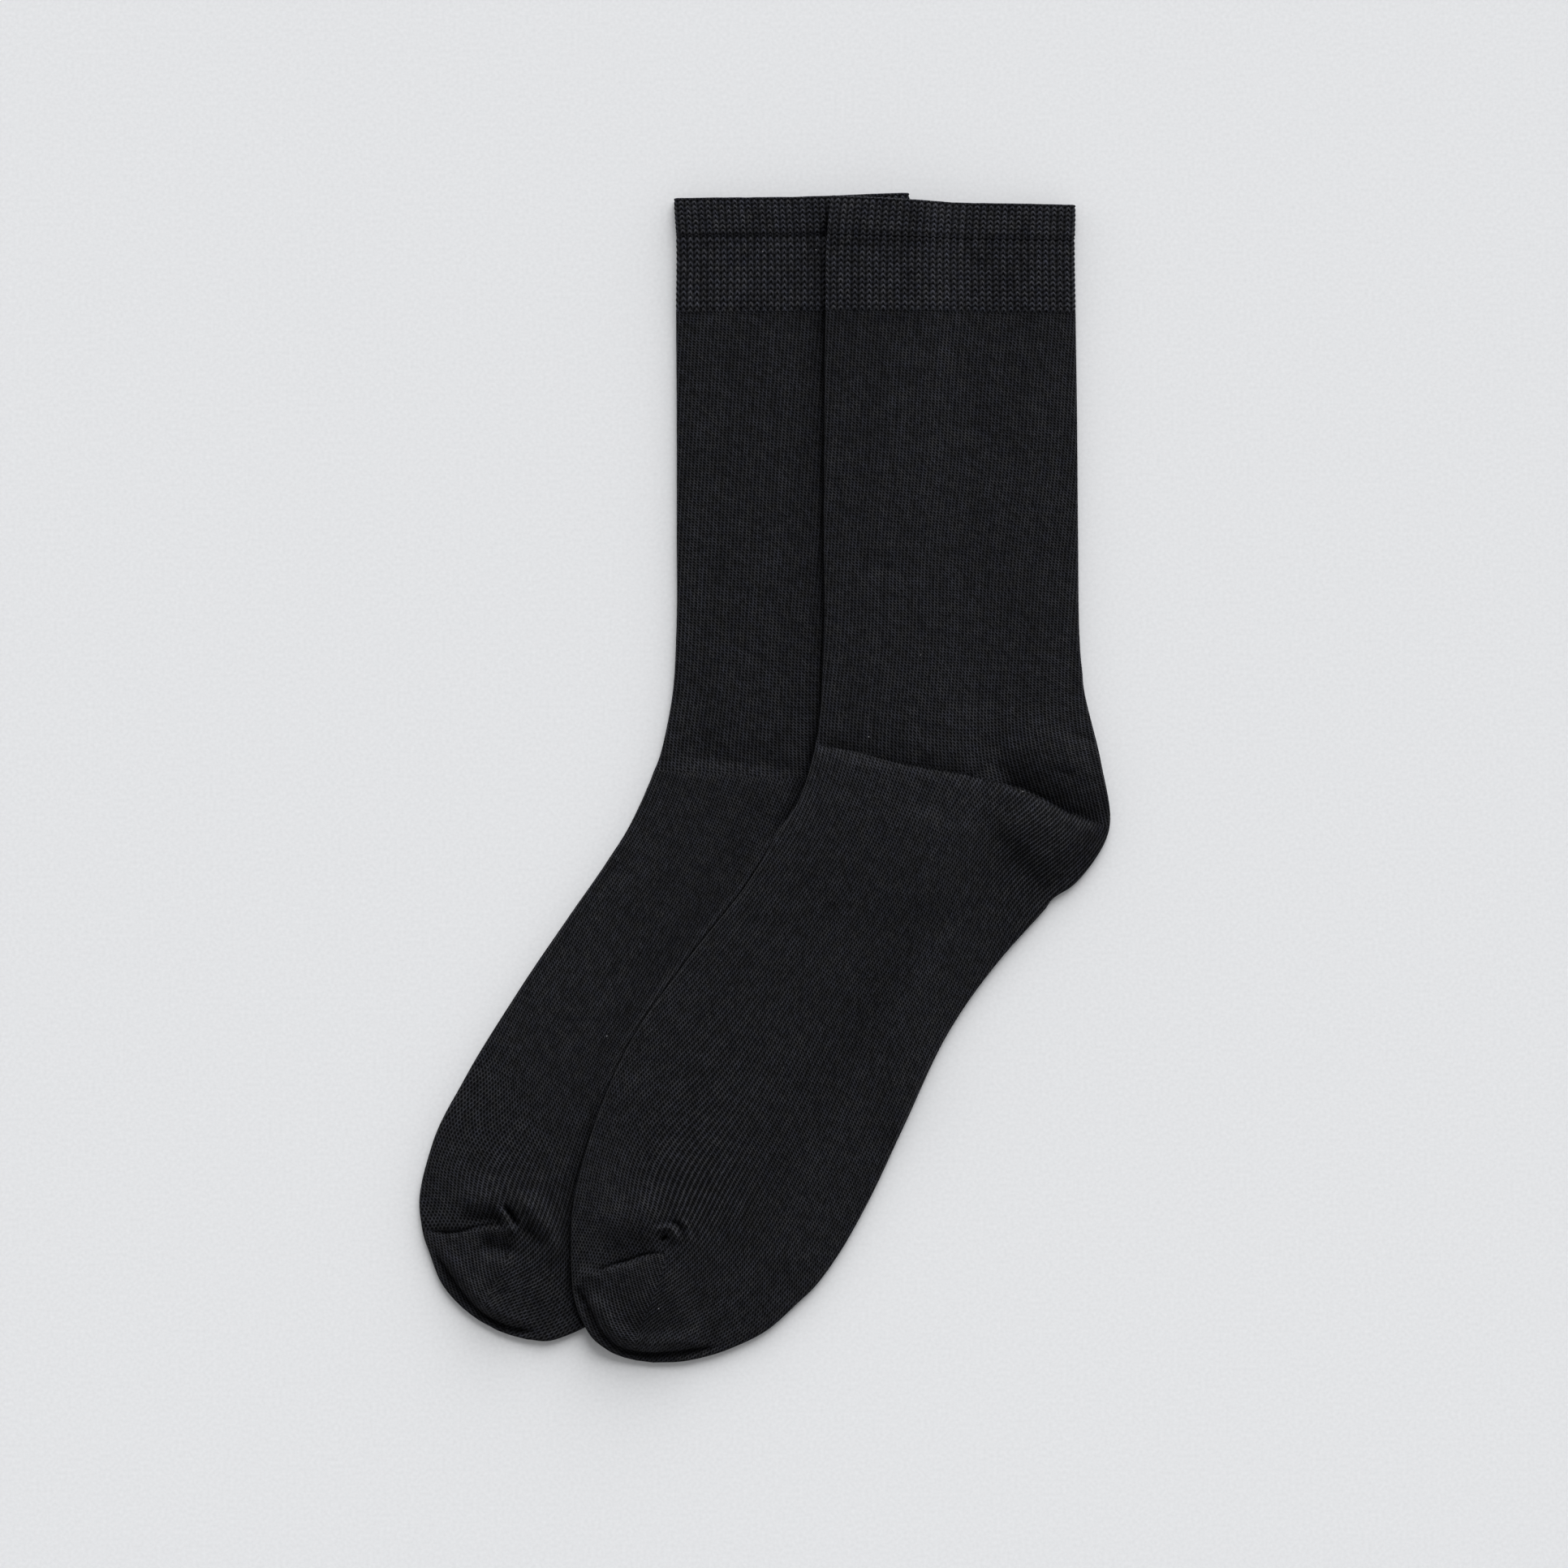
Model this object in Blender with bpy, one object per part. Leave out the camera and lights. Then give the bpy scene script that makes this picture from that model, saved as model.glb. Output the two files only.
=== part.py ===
"""A pair of knitted crew socks laid flat, the over sock lying partly on the under sock.

Each sock is one flattened tube, drawn in plan by a short table of cross sections and given its height
by the cloth's thickness, its folds and what it lies on. The tube is cut into the sections that it is
knitted in: welt, rib cuff, leg, heel pocket, foot and toe pocket.

World frame, in metres: +X across the pair, +Y from the toes to the cuffs, +Z up from the table.
All sizes below are in millimetres.
"""
from collections import namedtuple

import bpy
import numpy as np

MM = 0.001

# Cloth
JERSEY_WALL = 1.0
RIB_WALL = 1.2
WELT_WALL = 1.5
SLIT = 0.4  # what is left of the hollow between a tube's two layers
PUFF = 0.7  # how far the upper layer stands off the lower one, well inside the outline
PUFF_REACH = 16.0
SEAM_GAP = 0.3

# How the over sock rests: clear of the under sock, and sloping down to the table beside it
REST_GAP = 0.5
DRAPE_START = 1.5  # the slope starts this far beside the under sock
DRAPE_REACH = 18.0
PRESS_START = 4.0  # the under sock is pressed flat up to this far beside the over sock
PRESS_REACH = 16.0

# Mesh rows and columns
FOLD_STEPS = (0.0, 0.3, 1.2)  # distances from the outline, round the side folds
UNDER_COLUMNS = 3  # between a side fold and the side line
OVER_COLUMNS = 5  # more, because the over sock bends over the under one
END_STEPS = (1.2, 0.3)  # rows before the closed toe
CURVE_STEPS = 8  # outline points per section, for measuring distances

# A section crosses the flattened tube from its front (instep) fold over the side line to its back fold.
# The side line is where the instep half meets the sole half, and both gores start on it.
# "rows" is the number of mesh rows down to the next section.
Section = namedtuple("Section", "name front_x front_y side_x side_y back_x back_y rows")

OVER_SECTIONS = [
    Section("cuff_edge", 21.3, 186.2, 60.3, 184.0, 99.6, 183.4, 2),
    Section("welt_end", 20.0, 173.8, 59.5, 172.5, 99.3, 172.0, 2),
    Section("rib_end", 19.5, 149.4, 59.5, 149.1, 99.6, 148.8, 2),
    Section("calf", 19.2, 114.0, 59.8, 113.8, 100.1, 113.5, 2),
    Section("mid_leg", 19.0, 77.6, 60.3, 77.1, 100.4, 76.6, 2),
    Section("low_leg", 19.1, 46.4, 61.9, 45.1, 100.8, 46.4, 2),
    Section("ankle", 18.2, 25.6, 67.6, 19.9, 101.7, 34.5, 2),
    Section("heel_top", 17.3, 15.7, 70.2, 3.0, 103.2, 23.8, 1),
    Section("heel_upper", 16.9, 13.1, 71.0, 1.4, 107.8, 4.8, 2),
    Section("gore", 16.4, 10.8, 71.8, -0.3, 110.4, -16.2, 1),
    Section("heel_lower", 15.6, 7.2, 71.5, -2.0, 104.9, -27.4, 1),
    Section("heel_under", 15.0, 4.8, 71.1, -3.0, 98.3, -34.8, 1),
    Section("heel_notch", 14.3, 2.2, 70.5, -4.3, 93.5, -37.8, 1),
    Section("foot_start", 12.0, -4.8, 66.0, -9.8, 89.7, -42.2, 2),
    Section("instep", 4.9, -16.5, 54.1, -29.0, 75.9, -57.6, 2),
    Section("arch", -6.5, -35.2, 31.2, -60.7, 58.9, -81.5, 2),
    Section("mid_foot", -25.2, -58.9, 11.2, -86.2, 44.7, -111.4, 2),
    Section("ball", -45.2, -88.8, -8.8, -112.7, 33.0, -136.1, 2),
    Section("toe_approach", -57.2, -120.0, -20.3, -133.0, 22.9, -153.8, 1),
    Section("toe_near", -61.4, -138.2, -27.0, -141.6, 17.2, -161.6, 2),
    Section("toe_seam", -61.6, -160.8, -31.2, -151.5, 11.2, -167.6, 1),
    Section("toe_1", -60.6, -167.6, -33.0, -158.7, 0.3, -177.2, 1),
    Section("toe_2", -58.5, -173.3, -35.4, -165.2, -10.9, -182.7, 1),
    Section("toe_3", -54.9, -179.3, -38.0, -172.0, -19.2, -185.4, 1),
    Section("toe_4", -49.4, -183.6, -40.8, -178.2, -27.0, -186.9, 1),
    Section("toe_end", -45.0, -185.5, -41.0, -186.5, -35.6, -187.2, 0),
]

UNDER_SECTIONS = [
    Section("cuff_edge", -29.1, 185.5, 8.6, 185.8, 46.3, 187.3, 2),
    Section("welt_end", -28.3, 173.6, 9.4, 173.8, 47.3, 174.6, 2),
    Section("rib_end", -28.3, 149.1, 9.6, 149.4, 47.6, 149.6, 2),
    Section("calf", -28.1, 114.0, 9.9, 114.3, 48.1, 114.5, 2),
    Section("mid_leg", -28.1, 77.6, 10.9, 77.9, 48.4, 78.1, 2),
    Section("low_leg", -28.2, 47.7, 12.5, 47.7, 48.9, 48.5, 2),
    Section("ankle", -29.6, 25.6, 18.2, 20.9, 49.9, 34.5, 2),
    Section("heel_top", -32.8, 9.5, 21.3, 2.2, 51.7, 24.3, 1),
    Section("heel_upper", -34.1, 5.3, 22.1, 0.4, 56.7, 6.1, 2),
    Section("gore", -35.4, 2.2, 22.6, -0.7, 61.4, -15.5, 1),
    Section("heel_lower", -36.7, -1.2, 22.4, -2.2, 55.9, -26.4, 1),
    Section("heel_under", -37.7, -3.5, 21.8, -3.2, 49.1, -33.4, 1),
    Section("heel_notch", -38.7, -5.9, 21.1, -4.5, 44.5, -36.3, 1),
    Section("foot_start", -42.1, -13.1, 16.1, -10.8, 41.1, -40.2, 2),
    Section("instep", -50.2, -26.4, 3.4, -32.9, 28.6, -56.6, 2),
    Section("arch", -61.9, -43.3, -19.2, -64.1, 11.4, -80.0, 2),
    Section("mid_foot", -79.3, -69.0, -40.8, -93.5, -5.7, -110.9, 2),
    Section("ball", -96.2, -96.6, -57.2, -115.3, -18.2, -134.3, 2),
    Section("toe_approach", -106.6, -117.9, -70.2, -130.4, -26.5, -149.9, 1),
    Section("toe_near", -110.5, -135.1, -78.0, -138.2, -31.2, -156.9, 1),
    Section("toe_seam", -109.5, -145.0, -81.1, -144.4, -36.9, -162.4, 1),
    Section("toe_1", -107.4, -151.7, -82.7, -154.6, -44.7, -168.3, 1),
    Section("toe_2", -103.5, -161.6, -85.8, -160.8, -52.5, -173.0, 1),
    Section("toe_3", -98.8, -167.6, -88.4, -165.2, -60.1, -177.2, 1),
    Section("toe_4", -93.1, -172.5, -88.9, -169.9, -68.1, -180.1, 1),
    Section("toe_end", -85.5, -176.9, -81.1, -178.5, -75.9, -179.8, 0),
]

# A fold is a soft ridge (height above 0) or trough (below 0) along a curve through three points.
# Its two widths are measured to the left and to the right of the way from start to end.
Fold = namedtuple("Fold", "name start_x start_y middle_x middle_y end_x end_y height left right")

OVER_FOLDS = [
    Fold("ankle_crease", 15.0, 11.5, 43.0, 6.0, 71.0, 0.4, -0.9, 3.0, 1.6),
    Fold("ankle_ridge", 17.0, 7.0, 43.0, 2.0, 70.0, -3.0, 0.5, 2.0, 6.0),
    Fold("gore_trough", 68.0, 1.6, 90.0, -6.4, 109.0, -15.0, -1.5, 5.0, 1.6),
    Fold("gore_ridge", 70.0, -4.0, 90.0, -11.5, 106.0, -20.0, 1.3, 3.0, 7.0),
    Fold("heel_valley", 69.0, -7.0, 80.5, -21.0, 92.0, -35.5, -0.8, 3.2, 4.0),
    Fold("foot_swell", 56.0, -20.0, 52.0, -52.0, 46.0, -90.0, 0.7, 9.0, 9.0),
    Fold("foot_hollow", 34.0, -58.0, 31.0, -82.0, 26.0, -104.0, -0.6, 7.0, 7.0),
    Fold("toe_hollow", -57.0, -147.0, -44.0, -149.0, -34.0, -148.0, -0.6, 6.0, 2.5),
    Fold("toe_pucker", -35.5, -145.6, -31.0, -143.0, -26.8, -146.6, 0.8, 2.0, 2.0),
]

UNDER_FOLDS = [
    Fold("ankle_crease", -32.0, 6.0, -10.0, 3.2, 14.0, 0.6, -0.6, 5.0, 2.0),
    Fold("ankle_ridge", -33.0, -0.5, -10.0, 0.2, 10.0, -1.0, 0.5, 2.5, 6.0),
    Fold("toe_dimple", -97.0, -136.5, -90.0, -139.5, -84.6, -143.0, -0.7, 3.0, 3.0),
    Fold("toe_pinch", -84.8, -137.5, -82.6, -141.8, -80.2, -146.8, 0.9, 1.5, 1.5),
    Fold("toe_trough", -80.0, -141.8, -74.2, -145.8, -70.2, -150.8, -0.7, 1.5, 2.2),
    Fold("toe_ridge", -80.8, -132.5, -70.5, -142.5, -66.8, -157.0, 0.7, 3.0, 2.5),
]

FOLD_STEPS_ALONG = 12  # straight pieces that stand for a fold's curve
FOLD_FADE = 0.18  # share of a fold's length over which its height fades out at each end

# Knitted sections: the rows that each spans and the thickness of its wall
Knit = namedtuple("Knit", "name first last wall")

WELT = Knit("welt", "cuff_edge", "welt_end", WELT_WALL)
RIB = Knit("rib_cuff", "welt_end", "rib_end", RIB_WALL)
LEG = Knit("leg", "rib_end", "gore", JERSEY_WALL)
HEEL = Knit("heel", "heel_top", "heel_notch", JERSEY_WALL)
FOOT = Knit("foot", "gore", "toe_seam", JERSEY_WALL)
TOE = Knit("toe", "toe_seam", "toe_end", JERSEY_WALL)
KNITS = (WELT, RIB, LEG, HEEL, FOOT, TOE)

Finish = namedtuple("Finish", "colour roughness")
RIB_FINISH = Finish((0.013, 0.0135, 0.016), 0.9)
JERSEY_FINISH = Finish((0.012, 0.0125, 0.0145), 0.92)


def smoothstep(value):
    value = np.clip(value, 0.0, 1.0)
    return value * value * (3.0 - 2.0 * value)


class Sock:
    """One sock's plan: its three running lines, its outline and its folds."""

    def __init__(self, sections, folds):
        self.names = [section.name for section in sections]
        self.rows = [section.rows for section in sections]
        self.knots = np.array([section[1:7] for section in sections]).reshape(-1, 3, 2)
        steps = np.linalg.norm(np.diff(self.knots, axis=0), axis=2).mean(axis=1)
        self.station = np.concatenate([[0.0], np.cumsum(steps)])
        self.tangents = np.gradient(self.knots, self.station, axis=0)
        self.folds = [self.fold_curve(fold) for fold in folds]
        fine = np.concatenate(
            [np.linspace(a, b, CURVE_STEPS, endpoint=False) for a, b in zip(self.station, self.station[1:])]
        )
        fine = np.append(fine, self.station[-1])
        lines = self.lines(fine)
        toe = lines[-1]
        self.outline = np.concatenate([lines[:, 0], toe[1:2], lines[::-1, 2]])

    def lines(self, station):
        """The front, side and back points at stations along the sock, as an (n, 3, 2) array."""
        station = np.atleast_1d(station)
        index = np.clip(np.searchsorted(self.station, station, side="right") - 1, 0, len(self.station) - 2)
        length = (self.station[index + 1] - self.station[index])[:, None, None]
        t = (station - self.station[index])[:, None, None] / length
        p0, p1 = self.knots[index], self.knots[index + 1]
        m0, m1 = self.tangents[index] * length, self.tangents[index + 1] * length
        return (
            (2 * t**3 - 3 * t**2 + 1) * p0
            + (t**3 - 2 * t**2 + t) * m0
            + (3 * t**2 - 2 * t**3) * p1
            + (t**3 - t**2) * m1
        )

    def place(self, station, across):
        """Plan points: across runs from 0 at the front fold over 1 on the side line to 2 at the back fold."""
        front, side, back = np.moveaxis(self.lines(station), 1, 0)
        share = across[:, None]
        return np.where(share < 1.0, front + (side - front) * share, side + (back - side) * (share - 1.0))

    def fold_curve(self, fold):
        t = np.linspace(0.0, 1.0, FOLD_STEPS_ALONG + 1)[:, None]
        start, middle, end = np.array(fold[1:7]).reshape(3, 2)
        bend = 2.0 * middle - 0.5 * (start + end)
        curve = (1 - t) ** 2 * start + 2 * t * (1 - t) * bend + t**2 * end
        return curve, fold.height, fold.left, fold.right

    def edge(self, points):
        """Distance inwards from the folded outline, which runs with the inside on its left, and the way in."""
        distance, _, _, inwards = nearest(self.outline, points)
        return distance, inwards

    def outside(self, points):
        """Distance outside the closed outline, 0 inside it."""
        a = self.outline
        b = np.roll(self.outline, -1, axis=0)
        x, y = points[:, :1], points[:, 1:]
        crosses = (a[:, 1] > y) != (b[:, 1] > y)
        rise = np.where(b[:, 1] == a[:, 1], 1.0, b[:, 1] - a[:, 1])
        left = x < a[:, 0] + (y - a[:, 1]) * (b[:, 0] - a[:, 0]) / rise
        inside = np.sum(crosses & left, axis=1) % 2 == 1
        return np.where(inside, 0.0, nearest(np.vstack([a, a[:1]]), points)[0])

    def relief(self, points):
        """Height of all folds together."""
        total = np.zeros(len(points))
        for curve, height, left, right in self.folds:
            distance, side, along, _ = nearest(curve, points)
            width = np.where(side > 0.0, left, right)
            ends = smoothstep(along / FOLD_FADE) * smoothstep((1.0 - along) / FOLD_FADE)
            total += height * ends * np.exp(-((distance / width) ** 2))
        return total


def nearest(curve, points):
    """For each point: distance to an open polyline, its side, the share of the way along, and the way off it."""
    start, step = curve[:-1], np.diff(curve, axis=0)
    length = np.linalg.norm(step, axis=1)
    way = step / length[:, None]
    offset = points[:, None] - start[None]
    along = np.clip(np.sum(offset * way, axis=2), 0.0, length)
    away = offset - along[:, :, None] * way
    distance = np.linalg.norm(away, axis=2)
    pick = np.argmin(distance, axis=1)
    every = np.arange(len(points))
    left = np.column_stack([-way[pick, 1], way[pick, 0]])
    side = np.sum(offset[every, pick] * left, axis=1)
    before = np.concatenate([[0.0], np.cumsum(length)])
    share = (before[pick] + along[every, pick]) / before[-1]
    return distance[every, pick], side, share, left


def thickness(wall):
    return 2.0 * wall + SLIT


class Layout:
    """Both socks as they lie, with the height of the cloth at any place."""

    def __init__(self):
        self.under = Sock(UNDER_SECTIONS, UNDER_FOLDS)
        self.over = Sock(OVER_SECTIONS, OVER_FOLDS)

    def rest_height(self, sock, points):
        """Underside of a sock: the table, or for the over sock the under sock's upper side."""
        if sock is self.under:
            return np.zeros(len(points))
        welt_y, rib_y = self.under.knots[1, 1, 1], self.under.knots[2, 1, 1]
        lift = thickness(JERSEY_WALL) + REST_GAP
        above_rib = smoothstep((points[:, 1] - rib_y + 4.0) / 3.0)
        above_welt = smoothstep((points[:, 1] - welt_y + 4.0) / 3.0)
        lift = lift + 2.0 * (RIB_WALL - JERSEY_WALL) * above_rib + 2.0 * (WELT_WALL - RIB_WALL) * above_welt
        return lift * (1.0 - smoothstep((self.under.outside(points) - DRAPE_START) / DRAPE_REACH))

    def loft(self, sock, points):
        """How far the upper layer stands above its flattest."""
        distance, _ = sock.edge(points)
        lift = PUFF * smoothstep(distance / PUFF_REACH) + sock.relief(points) * smoothstep(distance / 2.0)
        if sock is self.under:
            lift = lift * smoothstep((self.over.outside(points) - PRESS_START) / PRESS_REACH)
        return np.maximum(lift, 0.0)

    def outer(self, sock, points, wall):
        """Heights of the upper and the lower layer's outer sides."""
        distance, _ = sock.edge(points)
        radius = thickness(wall) / 2.0
        bow = radius * round_over(distance / radius)
        middle = self.rest_height(sock, points) + radius
        return middle + bow + self.loft(sock, points), middle - bow

    def inner(self, sock, points, wall):
        """The same of the inner sides: plan points, moved in at the folds, and both heights."""
        distance, inwards = sock.edge(points)
        points = points + inwards * (wall * np.clip(1.0 - distance / (3.0 * wall), 0.0, 1.0))[:, None]
        distance, _ = sock.edge(points)
        bow = SLIT / 2.0 * round_over((distance - wall) / (SLIT / 2.0))
        middle = self.rest_height(sock, points) + thickness(wall) / 2.0
        return points, middle + bow + self.loft(sock, points), middle - bow


def round_over(share):
    """A quarter circle's rise, from 0 at share 0 to 1 at share 1."""
    return np.sqrt(1.0 - (1.0 - np.clip(share, 0.0, 1.0)) ** 2)


class Tube:
    """A sock's grid of rows and columns, from which each knitted section takes its cells."""

    def __init__(self, layout, sock, inner_columns):
        self.layout, self.sock, self.inner_columns = layout, sock, inner_columns
        self.stations = []
        self.first_row = {}
        for name, rows, start, end in zip(sock.names, sock.rows, sock.station, sock.station[1:]):
            self.first_row[name] = len(self.stations)
            self.stations += list(np.linspace(start, end, rows, endpoint=False))
        end = sock.station[-1]
        closing = np.linalg.norm(sock.knots[-1, 1] - sock.knots[-2, 1]) / (end - sock.station[-2])
        self.stations += [end - step / closing for step in END_STEPS]
        self.first_row[sock.names[-1]] = len(self.stations)
        self.stations.append(end)
        self.side_column = len(FOLD_STEPS) + inner_columns
        self.columns = 2 * self.side_column

    def share(self, station, column):
        """A column's share of the way across, from 0 at the front fold to 2 at the back fold."""
        if column > self.side_column:
            return 2.0 - self.share_from_fold(station, self.columns - column, 2)
        return self.share_from_fold(station, column, 0)

    def share_from_fold(self, station, column, fold):
        lines = self.sock.lines(station)[0]
        length = max(np.linalg.norm(lines[fold] - lines[1]), 3.0 * FOLD_STEPS[-1])
        if column < len(FOLD_STEPS):
            return FOLD_STEPS[column] / length
        last = FOLD_STEPS[-1] / length
        step = (column - len(FOLD_STEPS) + 1) / (self.inner_columns + 1)
        return last + (1.0 - last) * step

    def in_heel(self, row, column):
        rows = self.first_row
        return rows[HEEL.first] <= row < rows[HEEL.last] and column >= self.side_column

    def cells(self, knit):
        rows = range(self.first_row[knit.first], self.first_row[knit.last])
        heel = knit is HEEL
        return {(i, j) for i in rows for j in range(self.columns) if self.in_heel(i, j) == heel}

    def seam_shift(self, cells, row, column):
        """Which way a grid point moves to leave a seam: away from the cells beside it that are another's."""
        down = across = 0
        for i, way_down in ((row - 1, -1), (row, 1)):
            for j, way_across in ((column - 1, -1), (column, 1)):
                on_grid = 0 <= i < len(self.stations) - 1 and 0 <= j < self.columns
                if on_grid and (i, j) not in cells:
                    down -= way_down
                    across -= way_across
        return np.clip(down, -1, 1), np.clip(across, -1, 1)

    def plan_point(self, cells, row, column):
        """Plan point of a grid point of one knitted section, half a seam gap inside its edge."""
        station, share = self.stations[row], self.share(self.stations[row], column)
        down, across = self.seam_shift(cells, row, column)
        if down or across:
            nudge = 1e-3
            low, high = max(station - nudge, 0.0), min(station + nudge, self.sock.station[-1])
            along = (self.point(high, share) - self.point(low, share)) / (high - low)
            over = (self.point(station, share + nudge) - self.point(station, share - nudge)) / (2.0 * nudge)
            area = abs(along[0] * over[1] - along[1] * over[0])
            station += down * SEAM_GAP / 2.0 * np.linalg.norm(over) / area
            share += across * SEAM_GAP / 2.0 * np.linalg.norm(along) / area
        return self.point(station, share)

    def point(self, station, share):
        return self.sock.place(station, np.array([share]))[0]

    def shell(self, knit):
        """Vertices and faces of one knitted section as a closed wall."""
        cells = self.cells(knit)
        corners = sorted({(i + a, j + b) for i, j in cells for a in (0, 1) for b in (0, 1)})
        plan = np.array([self.plan_point(cells, i, j) for i, j in corners])
        upper, lower = self.layout.outer(self.sock, plan, knit.wall)
        inner_plan, inner_upper, inner_lower = self.layout.inner(self.sock, plan, knit.wall)
        vertices, index = [], {}
        last = len(self.stations) - 1
        for n, (i, j) in enumerate(corners):
            folded = j in (0, self.columns) or i == last
            for skin, place, heights in (
                ("outer", plan[n], (upper[n], lower[n])),
                ("inner", inner_plan[n], (inner_upper[n], inner_lower[n])),
            ):
                for layer, height in enumerate(heights):
                    if layer and folded:
                        index[skin, 1, i, j] = index[skin, 0, i, j]
                        continue
                    index[skin, layer, i, j] = len(vertices)
                    vertices.append((place[0] * MM, place[1] * MM, height * MM))
        faces, rim = [], {}
        for i, j in sorted(cells):
            loop = ((i, j), (i + 1, j), (i + 1, j + 1), (i, j + 1))
            for layer in (0, 1):
                around = loop if layer == 0 else loop[::-1]
                outer = [index["outer", layer, *corner] for corner in around]
                inner = [index["inner", layer, *corner] for corner in around]
                faces.append(outer)
                faces.append(inner[::-1])
                for a, b, c, d in zip(outer, outer[1:] + outer[:1], inner, inner[1:] + inner[:1]):
                    if (b, a) in rim:
                        del rim[b, a]
                    else:
                        rim[a, b] = (b, a, c, d)
        faces += rim.values()
        return vertices, faces


def make_material(name, finish):
    material = bpy.data.materials.new(name)
    material.use_nodes = True
    shader = material.node_tree.nodes["Principled BSDF"]
    shader.inputs["Base Color"].default_value = (*finish.colour, 1.0)
    shader.inputs["Roughness"].default_value = finish.roughness
    shader.inputs["Metallic"].default_value = 0.0
    return material


def make_object(name, vertices, faces, material):
    mesh = bpy.data.meshes.new(name)
    mesh.from_pydata(vertices, [], faces)
    mesh.validate()
    mesh.shade_smooth()
    mesh.materials.append(material)
    made = bpy.data.objects.new(name, mesh)
    bpy.context.scene.collection.objects.link(made)
    return made


def main():
    for old in list(bpy.data.objects):
        bpy.data.objects.remove(old, do_unlink=True)
    layout = Layout()
    rib = make_material("rib_knit", RIB_FINISH)
    jersey = make_material("jersey_knit", JERSEY_FINISH)
    under = Tube(layout, layout.under, UNDER_COLUMNS)
    over = Tube(layout, layout.over, OVER_COLUMNS)
    for side, tube in (("under", under), ("over", over)):
        for knit in KNITS:
            material = rib if knit in (WELT, RIB) else jersey
            make_object(f"{side}_{knit.name}", *tube.shell(knit), material)


main()
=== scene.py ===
"""Looks of a pair of knitted crew socks laid flat, the over sock lying partly on the under sock.

Each sock is one flattened tube, drawn in plan by a short table of cross sections. Its height follows the
cloth's thickness, its folds and what it lies on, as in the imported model, but on a fine grid and with every
small fold. The rib and the welt have their stitches modelled; the plain jersey has them in its material,
along wales that follow the knitting round the heel and the toe.

Row frame, in metres: +X across the pair, +Y from the toes to the cuffs, +Z up. Sizes in the tables and in
the shape functions are in millimetres.
"""
from collections import namedtuple

import bpy
import numpy as np
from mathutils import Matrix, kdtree, noise


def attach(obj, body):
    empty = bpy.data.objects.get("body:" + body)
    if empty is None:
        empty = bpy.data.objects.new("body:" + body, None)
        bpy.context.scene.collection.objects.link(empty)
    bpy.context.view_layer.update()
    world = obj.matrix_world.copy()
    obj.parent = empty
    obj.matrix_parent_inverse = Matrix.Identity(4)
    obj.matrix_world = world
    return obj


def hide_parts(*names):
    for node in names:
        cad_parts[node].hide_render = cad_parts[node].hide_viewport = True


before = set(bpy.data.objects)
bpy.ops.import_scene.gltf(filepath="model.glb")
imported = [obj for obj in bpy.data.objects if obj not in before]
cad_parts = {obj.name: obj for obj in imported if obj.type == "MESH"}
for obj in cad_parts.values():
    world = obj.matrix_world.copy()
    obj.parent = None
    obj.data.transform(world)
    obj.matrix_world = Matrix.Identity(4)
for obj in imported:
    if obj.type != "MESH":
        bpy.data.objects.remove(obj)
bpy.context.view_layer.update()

MM = 0.001
TINY = 1e-9  # keeps a division from failing
TURN = 2.0 * np.pi  # all the way round

# Cloth
JERSEY_WALL = 1.0
RIB_WALL = 1.2
WELT_WALL = 1.5
SLIT = 0.4  # what is left of the hollow between a tube's two layers
PUFF = 1.2  # how far the upper layer stands off the lower one, well inside the outline
PUFF_REACH = 14.0
SWELL = 9.0  # size of the small swells all over the cloth
SWELL_HEIGHT = 0.25
SWELL_SLICE = 0.5  # the height at which their noise is read
SWELL_NOISE = (1.0, 2.0, 3)  # how smooth it is, how much finer each octave is, and how many there are
FOLD_STEP = 0.7  # between the close points of a fold's curve
FOLD_FADE = 9.0  # a fold fades in and out over this length, or over a third of its own
FOLD_REACH = 3.0  # and it is left out this many of its widths away
EDGE_FADE = 2.0  # folds fade in over this distance from the outline
DEEPEST = -2.1  # how far a trough may sink into the cloth

# How the over sock rests: clear of the under sock, and sloping down to the table beside it
REST_GAP = 0.5
DRAPE_START = 1.5  # the slope starts this far beside the under sock
DRAPE_REACH = 18.0
STEP_UP_START = 4.0  # it rises to the thicker rib and welt from this far below them
STEP_UP_REACH = 3.0
CLUSTER = 0.7  # how much closer the under sock's columns lie along the over sock's edge
CLUSTER_REACH = 0.12  # over this share of the section
CONTACT_STEPS = 200  # places tried across a section to find that edge

# Grids
OUTLINE_STEP = 0.12
FOLD_ARC = 6  # steps round a quarter of a side fold
CLOSING_GAP = 0.1  # least step before the rows that close the toe
SIDE_COLUMNS = 44  # between a fold and the side line
RIB_COLUMNS = 36  # rib columns across a flat sock
STEPS_PER_RIB = 8
RIB_STEP = 0.25
WELT_EDGE_STEPS = 8
INNER_STEP = 1.0  # between the rows inside the welt

# Rib stitches. Their widths are shares of half a wale, and their heights are shares of the relief.
RIB_RELIEF = 0.55
UNDERSIDE_RELIEF = 0.5  # share of the relief on the lower layer, which lies pressed
INNER_RELIEF = 0.3  # and inside the welt
ARCH_DROP = 0.85  # how far an arch's legs drop, in courses
ARCH_SKEW = 0.12  # and how much further the right leg does
ARCH_WIDTH = 0.84
ARCH_SQUARENESS = 4.0
ARCH_LOW = 0.45  # how high a column is between two arches
HOLE_WIDTH = 0.3
HOLE_DEPTH = 0.3
PURL_HEIGHT = 0.35  # the low bumps between two columns
PURL_WIDTH = 0.22
WELT_COURSE = 1.59  # length of a course
RIB_COURSES = {"under": 1.90, "over": 1.71}

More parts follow.
